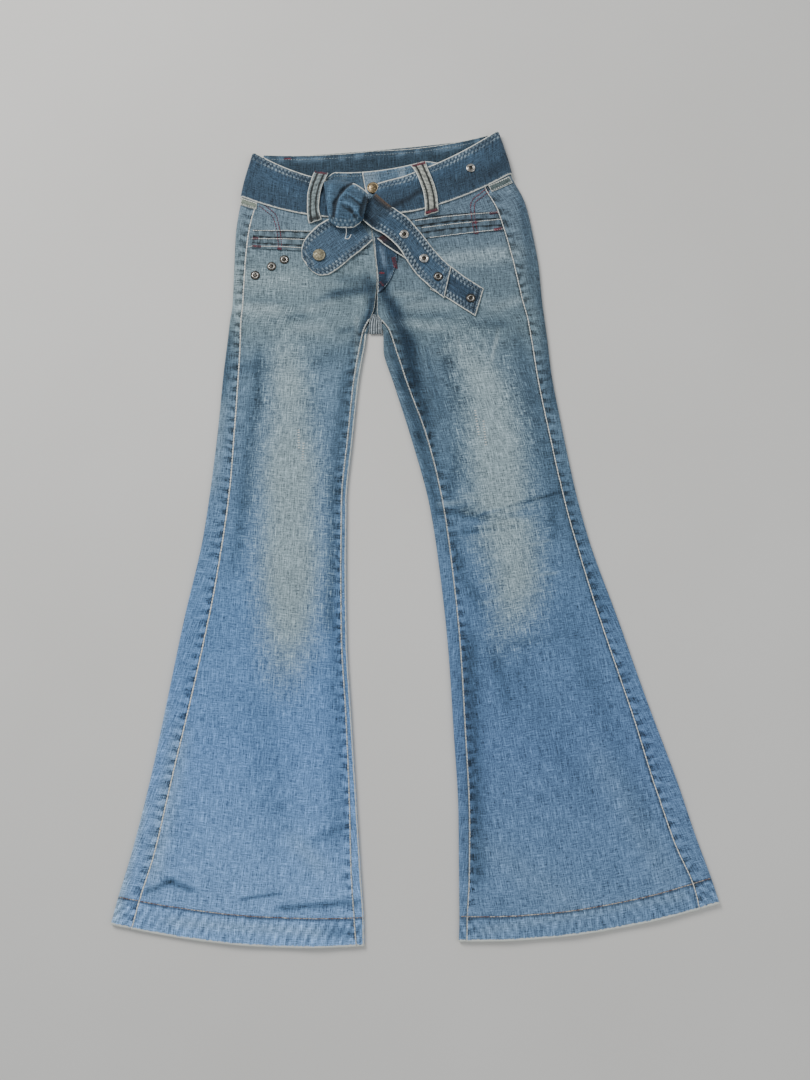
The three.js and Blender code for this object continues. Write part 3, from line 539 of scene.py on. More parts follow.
# How the legs are dyed, worn and shaded: the dye from the hem to the waist on each leg, darker
# strokes over it that are painted shade in its folds, creases and troughs, paler strokes, and the
# places where the thighs and knees are faded.
LEG_DYE = np.array([
    # y, then the dye of the right leg and of the left
    [-520, 126, 165, 212, 107, 138, 172],
    [-300, 108, 148, 199, 95, 127, 168],
    [-120, 100, 138, 182, 93, 125, 161],
    [60, 103, 132, 160, 92, 118, 140],
    [200, 106, 131, 150, 93, 115, 131],
    [250, 113, 133, 142, 101, 121, 131],
    [330, 115, 134, 141, 100, 119, 130],
    [440, 106, 126, 141, 96, 115, 130],
])
STROKES = np.array([
    # fromX fromY toX toY width tone (below 0 darker, above 0 paler)
    [-126, 293, -104, 302, 5, -0.35],  # the right hip's whiskers, with painted shade in the creases between the pale ones
    [-104, 302, -64, 308, 7, -0.6],
    [-188, 265, -153, 269, 5, -0.35],
    [-94, 249, -79, 252, 5, -0.35],
    [-92, 322, -56, 318, 10, -0.35],
    [-216, 292, -180, 289, 4, -0.15],
    [-106, 215, -79, 223, 12, -0.25],
    [-228, 280, -193, 279, 9, 0.5],
    [-210, 312, -120, 316, 13, 0.08],
    [-57, 290, -60, 271, 5, -0.75],  # painted shade in the fold from the crotch down the right inseam, with paler lines beside it
    [-61, 268, -72, 245, 7, -0.7],
    [-74, 240, -80, 200, 8, -0.4],
    [-62, 318, -56, 296, 7, -0.45],
    [-40, 314, -40, 300, 5, -0.5],
    [-150, 252, -135, 252, 10, 0.3],
    [-141, 280, -120, 288, 8, 0.25],
    [-77, 262, -76, 150, 4, 0.4],
    [-241, 330, -236, 267, 6, 0.4],
    [-229, 197, -203, 197, 11, -0.3],
    [-209, 207, -208, 150, 6, -0.5],
    [-213, 140, -222, 20, 10, -0.35],
    [-224, 0, -232, -60, 10, -0.25],
    [-90, 178, -104, 40, 11, -0.4],
    [-104, 20, -108, -140, 9, -0.4],
    [-100, -160, -96, -400, 12, -0.2],
    [-250, 235, -257, 160, 8, -0.45],
    [-255, 140, -262, 40, 8, 0.2],
    [-39, 301, -26, 276, 7, -0.8],  # painted shade in the trough from the crotch down the left inseam, then round the left hip's whiskers
    [-24, 272, -8, 228, 10, -0.9],
    [-7, 226, -1, 183, 11, -0.85],
    [0, 178, 13, 137, 11, -0.6],
    [14, 130, 30, 60, 9, -0.3],
    [-15, 270, 43, 270, 4, -0.2],
    [23, 247, 43, 244, 7, -0.15],
    [85, 259, 115, 258, 7, -0.35],
    [43, 215, 53, 160, 9, -0.35],
    [28, 167, 34, 145, 9, -0.3],
    [140, 232, 160, 150, 9, -0.25],
    [150, 150, 192, 30, 13, -0.25],
    [150, 440, 172, 300, 9, -0.35],
    [174, 290, 186, 150, 8, -0.4],
    [150, 425, 160, 300, 4, -0.2],
    [-34, 238, -16, 180, 6, -0.55],
    [-16, 180, 8, 100, 6, -0.5],
    [8, 100, 28, 10, 6, -0.4],
    [-24, 301, 2, 301, 5, 0.3],
    [-4, 259, 29, 253, 8, 0.35],
    [0, 285, 90, 290, 9, 0.3],
    [117, 284, 140, 292, 8, 0.35],
    [94, 234, 94, 213, 4, 0.25],
    [113, 247, 106, 213, 3, 0.3],
    [111, 236, 103, 206, 2.6, 0.4],
    [103, 206, 89, 175, 2.6, 0.35],
    [89, 175, 82, 147, 2.6, 0.3],
    [55, 251, 65, 213, 2.2, 0.4],
    [17, 222, 25, 178, 2.2, -0.3],
    [43, 222, 52, 228, 7, 0.25],
    [30, 352, 125, 362, 11, 0.45],
    [70, -3, 122, -13, 6, -0.5],  # painted shade in the creases at the left knee, and paler lines between them
    [116, 5, 189, 25, 2.2, -0.6],
    [36, -2, 65, 1, 6, -0.5],
    [67, -27, 125, -20, 2.6, -0.45],
    [49, -38, 58, -70, 8, -0.35],
    [70, -97, 83, -119, 8, -0.3],
    [56, 75, 49, 33, 8, -0.3],
    [179, 12, 183, -20, 7, -0.3],
    [69, 21, 116, 12, 5, 0.35],
    [86, -63, 174, -38, 1.6, 0.4],
    [88, -92, 181, -81, 2.0, 0.45],
    [92, -119, 159, -103, 2.0, 0.4],
    [38, 10, 62, 13, 4, 0.3],
    [135, -170, 179, -163, 6, -0.2],
    [104, -196, 116, -240, 9, -0.25],
    [196, 0, 240, -120, 12, -0.2],
    [200, -150, 280, -380, 16, -0.15],
    [70, -180, 76, -440, 13, -0.45],
    [-323, -471, -298, -461, 3.5, -0.5],  # painted shade in the folds above the right hem and down the lower legs, and paler streaks
    [-298, -461, -275, -470, 4, -0.55],
    [-209, -481, -166, -475, 2.0, -0.45],
    [-161, -492, -75, -485, 3.5, -0.5],
    [-102, -520, -74, -519, 7, -0.3],
    [-193, -265, -173, -373, 22, -0.14],
    [-117, -411, -84, -395, 6, -0.25],
    [-296, -300, -318, -440, 13, 0.4],
    [-139, -422, -123, -437, 12, 0.2],
    [-290, -508, -122, -519, 7, 0.3],
    [-340, -380, -366, -500, 9, 0.75],
    [-318, -260, -344, -380, 7, 0.6],
    [120, -200, 200, -330, 26, -0.12],
    [240, -330, 300, -440, 20, 0.14],
    [100, -430, 180, -480, 20, 0.12],
    [90, -516, 320, -478, 7, 0.22],
])
FADES = np.array([
    # fromX fromY toX toY width strength
    [-172, 212, -168, 180, 22, 0.42],
    [-166, 165, -164, 60, 32, 0.58],
    [-163, 40, -161, -60, 41, 0.72],
    [-160, -80, -160, -136, 40, 0.54],
    [-162, -156, -164, -180, 30, 0.24],
    [74, 206, 92, 180, 20, 0.42],
    [92, 168, 104, 100, 37, 0.62],
    [107, 80, 107, 20, 39, 0.64],
    [126, -30, 132, -80, 37, 0.64],
    [128, -98, 116, -138, 26, 0.3],
    [89, -3, 150, 14, 3, -0.4],  # painted shade along the creases at the left knee: less fade here keeps it dark
    [60, -16, 140, -2, 9, -0.45],
    [60, -29, 130, -20, 3, -0.3],
    [-222, 322, -174, 322, 16, 0.62],
    [-228, 274, -194, 272, 14, 0.44],
    [10, 258, 60, 252, 16, 0.16],
    [60, 350, 120, 354, 14, 0.35],
])
# The darker strokes move the dye towards SHADE, the tone of painted shade in folds, creases and troughs.
SHADE = np.array([32, 50, 66])
PALE = np.array([174, 191, 195])
PALE_LOW = np.array([162, 190, 213])  # the same towards the hems
FADE_STRENGTH = 0.85
ROPE_PITCH = 11  # from one rope of a hem to the next


def leg_wear_and_shade(x, y, side):
    """The dye, painted shade and fading at places of a leg: the table's dye for the height, moved by
    bells along the strokes, the darker ones towards painted shade and the paler ones towards a pale
    tone, and the sum of bells along the fades."""
    first = 1 if side == "right" else 4
    dye = np.stack([np.interp(y, LEG_DYE[:, 0], LEG_DYE[:, first + k]) for k in range(3)], -1)
    pale = PALE_LOW + (PALE - PALE_LOW) * smooth(y, -260, 60)[..., None]
    for line in STROKES:
        share = (abs(line[5]) * line_bell(x, y, line))[..., None]
        dye = dye * (1 - share) + share * (SHADE if line[5] < 0 else pale)
    fade = bells(x, y, FADES)
    return dye, np.clip(FADE_STRENGTH * fade, 0, 1)


def hem_ropes(across, along):
    """The slanting ropes that a hem twists into: a wave across and along it, of uneven pitch."""
    return np.sin(2 * np.pi * (across + 0.6 * along) / ROPE_PITCH + 1.5 * np.sin(across / 23))


def hem_tone(rows, across, along):
    """How light the hem is: painted shade just below its stitched row, and lighter and darker in turn
    along the slanting ropes between that row and the edge."""
    line = rows[:, None] - HEM_ROW + 0 * across
    ditch = np.exp(-(((line + 0.05) / 0.045) ** 2))
    ropes = hem_ropes(across, along) * smooth(line, -1.1, -0.7) * (1 - smooth(line, -0.2, 0))
    return (1 - 0.42 * ditch + 0.15 * ropes)[..., None]


def new_group(name, inputs, outputs):
    """A shader node group with its inputs and outputs, and its two end nodes."""
    tree = bpy.data.node_groups.new(name, "ShaderNodeTree")
    for label, kind, value in inputs:
        socket = tree.interface.new_socket(label, in_out="INPUT", socket_type="NodeSocket" + kind)
        if value is not None:
            socket.default_value = value
    for label, kind in outputs:
        tree.interface.new_socket(label, in_out="OUTPUT", socket_type="NodeSocket" + kind)
    return tree, tree.nodes.new("NodeGroupInput").outputs, tree.nodes.new("NodeGroupOutput").inputs


def stretched_noise(tree, cloth, across, along, detail=2.0):
    """Noise with so many grains a metre across and along the cloth."""
    scaled = add_node(tree, "VectorMath", {0: cloth, 1: (across, along, 1)}, operation="MULTIPLY")
    inputs = {"Vector": scaled.outputs[0], "Scale": 1.0, "Detail": detail, "Roughness": 0.6}
    return add_node(tree, "TexNoise", inputs, noise_dimensions="2D").outputs[0]


def slub_weave_group():
    """Slub denim: thick and thin threads both ways as noise stretched along them, with a grain of
    fine ones, as one tone about nothing; clouds of uneven dye; and twill lines for the relief."""
    tree, given, put = new_group(
        "slub_weave",
        [("Cloth", "Vector", None)],
        [("Tone", "Float"), ("Cloud", "Float"), ("Relief", "Float")],
    )
    cloth = given["Cloth"]
    warp = stretched_noise(tree, cloth, 880, 52, 1.0)
    weft = stretched_noise(tree, cloth, 66, 840, 1.0)
    fine_warp = stretched_noise(tree, cloth, 1500, 260)
    fine_weft = stretched_noise(tree, cloth, 260, 1500)
    slubs = work(tree, "MULTIPLY_ADD", weft, 1.7, work(tree, "MULTIPLY", warp, 2.3))
    tone = work(tree, "MULTIPLY_ADD", work(tree, "ADD", fine_warp, fine_weft), 2.2, slubs)
    tone = work(tree, "SUBTRACT", tone, 4.2)
    bright = work(tree, "POWER", ease(tree, work(tree, "MAXIMUM", warp, weft), 0.6, 0.86), 1.5)
    tone = work(tree, "MULTIPLY_ADD", bright, 0.8, tone)
    tree.links.new(tone, put["Tone"])
    cloud = add_node(tree, "TexNoise", {"Vector": cloth, "Scale": 26.0, "Detail": 5.0})
    tree.links.new(cloud.outputs[0], put["Cloud"])
    slant = add_node(tree, "VectorMath", {0: cloth, 1: (4600, 4600, 0)}, operation="DOT_PRODUCT")
    twill = work(tree, "SINE", slant.outputs["Value"])
    tree.links.new(work(tree, "MULTIPLY_ADD", twill, 0.1, tone), put["Relief"])
    return tree


def seam_pucker_group():
    """Puckers beside a seam: hollows darkened as painted shade and paler humps in turn along it,
    uneven by noise, that are strongest beside the stitches and die out across the cloth, and the line
    of the seam's ditch, which is darkened as painted shade too."""
    tree, given, put = new_group(
        "seam_pucker",
        [("Cloth", "Vector", None), ("Distance", "Float", FAR)],
        [("Hollow", "Float"), ("Hump", "Float"), ("Ditch", "Float")],
    )
    along = add_node(tree, "SeparateXYZ", {0: given["Cloth"]}).outputs[1]
    drift = stretched_noise(tree, given["Cloth"], 34, 26, 3.0)
    turns = work(tree, "MULTIPLY_ADD", drift, 9.0, work(tree, "MULTIPLY", along, 430.0))
    wave = work(tree, "SINE", turns)
    patchy = stretched_noise(tree, given["Cloth"], 20, 90, 2.0)
    near = work(tree, "EXPONENT", work(tree, "MULTIPLY", given["Distance"], -0.08))
    near = work(tree, "MULTIPLY", near, ease(tree, given["Distance"], 20.0, 4.0))
    hollow = work(tree, "MULTIPLY", ease(tree, wave, 0.5, -0.6), near)
    hollow = work(tree, "MULTIPLY", hollow, ease(tree, patchy, 0.22, 0.42))
    tree.links.new(hollow, put["Hollow"])
    tree.links.new(work(tree, "MULTIPLY", ease(tree, wave, 0.0, 1.0), near), put["Hump"])
    tree.links.new(ease(tree, given["Distance"], 2.2, 0.3), put["Ditch"])
    return tree


def edge_wear_group():
    """Wear along an edge: worn through to the white core of the yarn, broken up by noise."""
    tree, given, put = new_group(
        "edge_wear",
        [("Cloth", "Vector", None), ("Distance", "Float", FAR), ("Width", "Float", 1.2)],
        [("Worn", "Float")],
    )
    rough = stretched_noise(tree, given["Cloth"], 260, 260, 3.0)
    width = work(tree, "MULTIPLY", given["Width"], work(tree, "MULTIPLY", rough, 2.0))
    worn = work(tree, "SUBTRACT", 1.0, work(tree, "DIVIDE", given["Distance"], width))
    tree.links.new(ease(tree, worn, 0.0, 0.5), put["Worn"])
    return tree


slub_weave = slub_weave_group()
seam_pucker = seam_pucker_group()
edge_wear = edge_wear_group()


def denim_material(name, contrast, wear_width, rough):
    """Washed denim: the dye with darker and paler threads, faded places that break up along the
    slubs, puckers at seams with painted shade in their hollows, painted shade in the ditch beside a
    seam, and edges worn to the white core."""
    material, tree, shader = new_material(name)
    cloth = add_node(tree, "UVMap", uv_map="cloth").outputs[0]
    dye = add_node(tree, "Attribute", attribute_name="dye").outputs["Color"]
    fade, edge, seam = (
        add_node(tree, "Attribute", attribute_name=label).outputs["Fac"]
        for label in ("fade", "edge", "seam")
    )
    tone, cloud, relief = add_node(tree, "Group", {"Cloth": cloth}, node_tree=slub_weave).outputs
    inputs = {"Cloth": cloth, "Distance": seam}
    hollow, hump, ditch = add_node(tree, "Group", inputs, node_tree=seam_pucker).outputs
    inputs = {"Cloth": cloth, "Distance": edge, "Width": wear_width}
    worn = add_node(tree, "Group", inputs, node_tree=edge_wear).outputs["Worn"]
    share = work(tree, "MULTIPLY_ADD", tone, 0.22, fade)
    share = work(tree, "MULTIPLY", ease(tree, share, 0.0, 1.0, 0.0, 0.95), ease(tree, fade, 0.0, 0.2))
    colour = blend(tree, share, dye, srgb(149, 168, 173))
    level = work(tree, "MULTIPLY_ADD", cloud, 0.36, 0.82)
    level = work(tree, "MULTIPLY_ADD", tone, contrast, level)
    # Paler pucker humps, and painted shade in their hollows.
    level = work(tree, "MULTIPLY_ADD", hump, 0.36, level)
    level = work(tree, "MAXIMUM", work(tree, "MULTIPLY_ADD", hollow, -0.8, level), 0.2)
    colour = add_node(tree, "VectorMath", {0: colour, "Scale": level}, operation="SCALE").outputs[0]
    # Painted shade in the ditch beside a seam.
    colour = blend(tree, work(tree, "MULTIPLY", ditch, 0.5), colour, srgb(42, 56, 70))
    colour = blend(tree, worn, colour, srgb(222, 223, 213))
    tree.links.new(colour, shader.inputs["Base Color"])
    height = work(tree, "MULTIPLY_ADD", hump, 1.2, work(tree, "MULTIPLY_ADD", hollow, -1.6, relief))
    bump = add_node(tree, "Bump", {"Height": height, "Strength": 0.5, "Distance": 0.0004})
    tree.links.new(bump.outputs[0], shader.inputs["Normal"])
    shader.inputs["Roughness"].default_value = rough
    shader.inputs["Specular IOR Level"].default_value = 0.25
    shader.inputs["Sheen Weight"].default_value = 0.12
    shader.inputs["Sheen Roughness"].default_value = 0.5
    return material


denim = denim_material("washed_denim", contrast=0.66, wear_width=1.0, rough=0.9)

STRIP_STEPS = 11  # columns of the strip beside the side seam
FOLD_STEPS = 7
UNDER_STEPS = 14
INNER_STEPS = 24
WORN_TURN = 0.78 * np.pi * INNER_TURN  # how far round the inner fold its worn line lies
HEM_WORN = 0.45  # the distance from the hem to the shader, against the real one
for side, table in HALVES.items():
    rows = even_rows(table, LEG_STEPS, PANEL_TOP_ROW)
    s = section_at(table, rows)
    strip_start = s.top_span - s.lap + SEAM_GAP
    strip_end = s.top_span - s.outer_turn
    strip = np.concatenate([strip_start, spans(strip_start, strip_end, STRIP_STEPS)], axis=1)
    seam = np.maximum(0, strip - strip_start)
    place, away = top_points(s, strip)
    distance = cloth_uv(place)[..., 1] / MM
    place = place + away * (puckers(seam, distance) * smooth(seam, 0, 4))[..., None]
    grid, away = joined(
        (place, away),
        turn_points(s, spans(0 * s.lift, 1 + 0 * s.lift, FOLD_STEPS)),
        under_points(
            s, spans(s.bottom_span - s.outer_turn, s.inner_start + INNER_FLAT, UNDER_STEPS)
        ),
        inner_points(s, spans(0 * s.lift, 1 + 0 * s.lift, INNER_STEPS)),
    )
    dye, fade = leg_wear_and_shade(grid[..., 0], grid[..., 1], side)
    columns = grid.shape[1]
    beyond = np.full((len(rows), columns - STRIP_STEPS - 1), FAR)
    from_strip = np.concatenate([seam + 0.8, beyond], axis=1)
    hem = cloth_uv(grid)[..., 1] / MM
    way = reach(grid, 1)
    way = way - way[:, columns - INNER_STEPS - 1, None] - INNER_FLAT - WORN_TURN
    on_fold = (np.arange(columns) > columns - INNER_STEPS) & (side == "right")
    worn_fold = np.where(on_fold, np.abs(way) * 0.8, FAR)
    dye = dye * hem_tone(rows, way, hem)
    hem = np.maximum(0, hem - 1) * HEM_WORN
    back = cloth_piece(
        f"back_leg_{side}", grid, CLOTH, [f"back_{side}"], dye, fade * 0.5,
        np.minimum(hem, worn_fold), from_strip, away,
    )

# The two front leg panels, cut to the side seam and to the inseam. The hem is turned up inside and
# stitched, the side edge is turned under and topstitched onto the back panel.
FRONT_COLUMNS = 68
SIDE_QUIET = 9  # the front panel hardly puckers beside the side seam
TURNED_RISE = 0.35  # how much thicker the side edge is, where it is turned under

for side, table in HALVES.items():
    rows = even_rows(table, LEG_STEPS, PANEL_TOP_ROW)
    s = section_at(table, rows)
    first = np.linalg.norm(s.front - s.top_start, axis=-1)
    last = s.top_span - s.lap
    share = np.linspace(0, 1, FRONT_COLUMNS)
    share = 0.6 * share + 0.4 * (0.5 - 0.5 * np.cos(np.pi * share))
    span = first + (last - first) * share
    grid, away = top_points(s, span)
    from_side, from_front = last - span, span - first
    along = cloth_uv(grid)[..., 1] / MM
    lift = puckers(from_side, along, 0.8) * smooth(from_side, 0, 4)
    lift += TURNED_RISE * (1 - smooth(from_side, 2.5, 5.5))
    below_crotch = 1 - smooth(rows, 11, 12)[:, None]
    lift += puckers(from_front, along + 4, 0.7) * smooth(from_front, 0, 4) * below_crotch
    hem_line = rows[:, None] - HEM_ROW
    lift += 0.5 * (1 - smooth(hem_line, -0.06, 0.04))
    ropes = 0.3 * hem_ropes(span, along) * smooth(hem_line, -0.9, -0.5)
    lift += ropes * (1 - smooth(hem_line, -0.1, 0.05))
    grid = grid + away * lift[..., None]
    dye, fade = leg_wear_and_shade(grid[..., 0], grid[..., 1], side)
    # Painted shade in the ditch beside the left side seam's thread.
    seam_ditch_shade = np.exp(-(((from_side - 1.6) / 1.2) ** 2)) * (side == "left")
    dye = dye * (1 - 0.4 * seam_ditch_shade)[..., None]
    front = cloth_piece(
        f"front_leg_{side}", grid, CLOTH, [f"front_{side}"],
        dye * hem_tone(rows, span, along), fade,
        np.minimum(np.maximum(0, along - 1) * HEM_WORN, from_front + 0.35),
        np.minimum(from_side + SIDE_QUIET, from_front + 1.5 + 40 * (1 - below_crotch)), away,
    )

# The sewing of the legs: cream topstitching of thick thread at the side seams, a finer row at the
# inseams and a beige row round each hem, and bared threads where the thighs are worn. A stitch is
# one short closed lozenge of thread.
STITCH_RINGS = np.array([-0.34, 0.0, 0.34])  # where its rings lie, as shares of its length
STITCH_SIDES = 5
wander = np.random.default_rng(11)


def thread_material(name, colour, dark):
    """Spun thread: a fine grain in colour and relief, and faded stretches."""
    material, tree, shader = new_material(name)
    place = add_node(tree, "TexCoord").outputs["Object"]
    patch = add_node(tree, "TexNoise", {"Vector": place, "Scale": 160.0, "Detail": 3.0}).outputs[0]
    grain = add_node(tree, "TexNoise", {"Vector": place, "Scale": 2600.0}).outputs[0]
    mixed = blend(tree, ease(tree, patch, 0.35, 0.7), dark, colour)
    tree.links.new(blend(tree, 0.12, mixed, grain, "OVERLAY"), shader.inputs["Base Color"])
    bump = add_node(tree, "Bump", {"Height": grain, "Strength": 0.6, "Distance": 0.0002})
    tree.links.new(bump.outputs[0], shader.inputs["Normal"])
    shader.inputs["Roughness"].default_value = 0.75
    return material


cream_thread = thread_material("cream_thread", srgb(246, 245, 238), srgb(214, 216, 208))
beige_thread = thread_material("beige_thread", srgb(214, 206, 192), srgb(104, 78, 76))
grey_thread = thread_material("grey_thread", srgb(164, 176, 180), srgb(96, 112, 124))
red_thread = thread_material("red_thread", srgb(134, 56, 68), srgb(76, 50, 64))


def stitches(path, pitch, length, width, height, crosswise=False):
    """Points and faces of a row of stitches along a path of points. Each has a pole at both ends and
    rings of points between them, on a lens that is thickest in its middle; it lies along the path,
    or across it for a bartack."""
    path = np.asarray(path, float)
    length_at = lengths_along(path)
    count = max(1, int(length_at[-1] / pitch))
    at = (np.arange(count) + 0.5) * length_at[-1] / count
    where = [
        np.stack([np.interp(at + shift, length_at, path[:, k]) for k in range(3)], -1)
        for shift in (0, 0.6, -0.6)
    ]
    ahead = where[1] - where[2]
    ahead /= np.linalg.norm(ahead, axis=1, keepdims=True)
    side = np.cross([0, 0, 1.0], ahead)
    if crosswise:
        ahead, side = side, -ahead
    centre = where[0] + side * wander.normal(0, 0.08, (count, 1))
    size = length * (1 + wander.normal(0, 0.06, (count, 1, 1)))
    angle = 2 * np.pi * np.arange(STITCH_SIDES) / STITCH_SIDES
    round_part = [(t, 0.5 * np.cos(a), np.sin(a), 1 - 2.2 * t * t) for t in STITCH_RINGS for a in angle]
    shape = np.array([(-0.5, 0, -0.5, 0.4), *round_part, (0.5, 0, -0.5, 0.4)])
    along, across, up, bulk = (shape[None, :, k, None] for k in range(4))
    points = centre[:, None] + ahead[:, None] * along * size + side[:, None] * across * width * bulk
    points[..., 2] += (0.5 * height * up * bulk + 0.25 * height)[..., 0]
    ring = np.arange(STITCH_SIDES)
    after = (ring + 1) % STITCH_SIDES
    last = 1 + STITCH_SIDES * len(STITCH_RINGS)
    faces = [np.stack([0 * ring, 1 + after, 1 + ring, 1 + ring], -1)]
    for k in range(len(STITCH_RINGS) - 1):
        low, high = 1 + STITCH_SIDES * k, 1 + STITCH_SIDES * (k + 1)
        faces.append(np.stack([low + ring, low + after, high + after, high + ring], -1))
    low = last - STITCH_SIDES
    faces.append(np.stack([low + ring, low + after, last + 0 * ring, last + 0 * ring], -1))
    faces = np.concatenate(faces)
    return points.reshape(-1, 3), (faces + len(shape) * np.arange(count)[:, None, None]).reshape(-1, 4)


def sew(name, material, rows, with_nodes=()):
    """One piece of all the given rows of stitches."""
    points, faces, start = [], [], 0
    for row_points, row_faces in rows:
        points.append(row_points)
        faces.append(row_faces + start)
        start += len(row_points)
    points = np.concatenate(points)
    faces = [tuple(dict.fromkeys(face)) for face in np.concatenate(faces).tolist()]
    mesh = bpy.data.meshes.new(name)
    mesh.from_pydata(((points - MIDDLE) * MM).tolist(), [], faces)
    mesh.polygons.foreach_set("use_smooth", np.ones(len(faces), bool))
    return link_piece(name, mesh, material, with_nodes)


def laid_path(points, lift=0.0, step=1.5):
    """A smooth path over places seen from above, at the height of what is laid down there."""
    points = np.asarray(points, float)
    count = max(8, int(lengths_along(points)[-1] / step))
    fine = np.linspace(0, len(points) - 1, count)
    if len(points) > 2:
        place = between(points, fine)
    else:
        place = points[0] + (points[1] - points[0]) * fine[:, None]
    return np.column_stack([place, ground_at(place[:, 0], place[:, 1]) + lift])


THREAD_WIDTHS = {"right": (2.2, 1.2), "left": (1.7, 0.9)}  # at the side seam and the inseam
FRAYED = {
    "right": [[(-153, 112), (-152, 84)], [(-146, 94), (-147, 68)]],
    "left": [[(81, 139), (86, 102)], [(92, 124), (95, 88)]],
}
for side, table in HALVES.items():
    rows = even_rows(table, LEG_STEPS, PANEL_TOP_ROW - 0.6)
    s = section_at(table, rows)
    side_width, inner_width = THREAD_WIDTHS[side]
    side_line, _ = top_points(s, s.top_span - s.lap - 0.5)
    side_line[..., 2] = ground_at(side_line[..., 0], side_line[..., 1])
    first = np.linalg.norm(s.front - s.top_start, axis=-1)
    inner_line, _ = top_points(s, first + 1.1)
    inner_line = inner_line[rows < 11.6]
    inner_line[..., 2] = ground_at(inner_line[..., 0], inner_line[..., 1])
    sew(f"side_seam_stitches_{side}", cream_thread, [
        stitches(side_line[:, 0], 4.0, 4.7, side_width, 0.8),
    ])
    sew(f"inseam_stitches_{side}", cream_thread, [
        stitches(inner_line[:, 0], 3.8, 4.0, inner_width, 0.5),
    ])
    hem = section_at(table, np.full(120, HEM_ROW - 0.02))
    hem_line, _ = top_points(hem, np.linspace(2, hem.top_span[0, 0] - 2, 120)[:, None])
    hem_line[..., 2] = ground_at(hem_line[..., 0], hem_line[..., 1])
    sew(f"hem_stitches_{side}", beige_thread, [stitches(hem_line[:, 0], 3.8, 4.0, 1.5, 0.7)])
    sew(f"frayed_threads_{side}", cream_thread, [
        stitches(laid_path(line), 3.5, 3.4, 1.4, 0.7, crosswise=True) for line in FRAYED[side]
    ])

# The felled seat seam that shows between the legs: three thicknesses of cloth folded into each
# other and held by rows of grey thread, worn pale on its ridges, with painted shade in the grooves
# between them.
SEAT_SEAM = np.array([
    # leftX leftY rightX rightY top
    [-60.5, 245, -44, 245, 3.7],
    [-60.5, 255, -44, 255, 4.2],
    [-59, 265, -44, 264, 4.4],
    [-54.5, 272.5, -47.5, 271, 4.6],
])
SEAT_RIDGES = 5
rows = between(SEAT_SEAM, np.linspace(0, 3, 26))
share = np.linspace(0, 1, 41)
x = rows[:, 0:1] + (rows[:, 2:3] - rows[:, 0:1]) * share
y = rows[:, 1:2] + (rows[:, 3:4] - rows[:, 1:2]) * share
ridge = np.cos(2 * np.pi * SEAT_RIDGES * share) + 0 * x
grid = np.stack([x, y, rows[:, 4:5] + 0.35 * ridge], -1)
# Pale on the ridges, with painted shade in the grooves between them.
seat_dye_and_shade = np.array([116, 124, 128]) + 56 * ridge[..., None]
seat = cloth_piece(
    "felled_seat_seam", grid, CLOTH, ["seat_seam"], seat_dye_and_shade
)

# The fly: the left front's facing, laid over the right front from the waistband to its curved end,
# topstitched in a J and tacked with red thread.
FLY = np.array([
    # edgeX edgeY stitchX stitchY
    [-48.6, 303, -45, 303],
    [-48.3, 312, -38, 311],
    [-48.6, 322, -31.5, 320],
    [-49.8, 336, -25.5, 335],
    [-51.8, 354, -22, 354],
    [-54.2, 384, -22, 384],
])
FLY_CLOTH = 0.9
FLY_DEPTH = np.array([0.46, 0.55, 0.64])  # how much darker than the leg it is
FLY_CURVE = [(-23.8, 372), (-24, 354), (-27.4, 334.4), (-33.4, 319.4), (-40, 310)]
FLY_RED = [
    [(-29, 353), (-25.5, 338)], [(-26.5, 354), (-23, 337)], [(-47, 331), (-40, 330)],
    [(-46, 318), (-41, 312)],
]


def band_grid(table, steps, columns, width, lift):
    """A band between two edges, seen from above, laid "lift" over what is below it."""
    rows = between(table, np.linspace(0, len(table) - 1, steps))
    share = np.linspace(0, 1, columns)
    x = rows[:, 0:1] + (rows[:, 2:3] - rows[:, 0:1]) * share
    y = rows[:, 1:2] + (rows[:, 3:4] - rows[:, 1:2]) * share
    return np.stack([x, y, ground_at(x, y, width) + lift], -1)


def border(grid, edges="left right start end"):
    """The distance to the nearest of the named edges: left and right are the ends of the rows,
    start and end the first and the last row."""
    across, along = reach(grid, 1), reach(grid, 0)
    distance = {
        "left": across, "right": across[:, -1:] - across, "start": along, "end": along[-1:] - along,
    }
    return np.minimum.reduce([distance[edge] for edge in edges.split()])


def rolled(grid, depth=0.5, width=0.9, edges="left right start end"):
    """The band with its edges rolled down a little, as turned and pressed cloth is."""
    grid = grid.copy()
    grid[..., 2] -= depth * np.exp(-border(grid, edges) / width)
    return grid


grid = rolled(band_grid(FLY, 60, 22, 4, SEAM_GAP + FLY_CLOTH), 0.3)
dye, fade = leg_wear_and_shade(grid[..., 0], grid[..., 1], "left")
puffs = 0.5 + 0.5 * np.sin(grid[..., 1] / 3.4)
puffs = puffs * np.exp(-(((border(grid, "right") - 4) / 2.2) ** 2))
worn_spots = line_bell(grid[..., 0], grid[..., 1], (-44, 365, -40, 345, 4))
dye = dye * FLY_DEPTH + (55 * puffs + 50 * worn_spots)[..., None]
fly = cloth_piece(
    "fly_facing", grid, FLY_CLOTH, ["fly_placket"], dye, 0,
    border(grid, "left") + 0.3, 30,
)
sew("fly_stitches", grey_thread, [
    stitches(laid_path(FLY_CURVE), 3.4, 2.6, 0.9, 0.5),
])
sew("fly_tacks", red_thread, [
    stitches(laid_path(line), 0.9, 3.6, 1.0, 0.8, crosswise=True) for line in FLY_RED
])

# The waistband, of two thicknesses of denim: the back one lies under the belt and shows its inside
# above the front ones, which come round the sides and lap at the centre front.
BAND_CLOTH = 1.8
WAISTBAND_UNDER = 10
WAISTBAND_GAP_ROWS = 0.012
BAND_DYE = {"right": np.array([62, 82, 98]), "left": np.array([84, 106, 124])}
BAND_WORN = np.array([140, 158, 172])
BAND_PATCHES = {"right": 0.2, "left": 0.6}
BAND_HIDDEN = {"right": (0.24, 0.4), "left": (0.44, 0.66)}  # where the belt starts to cover its top


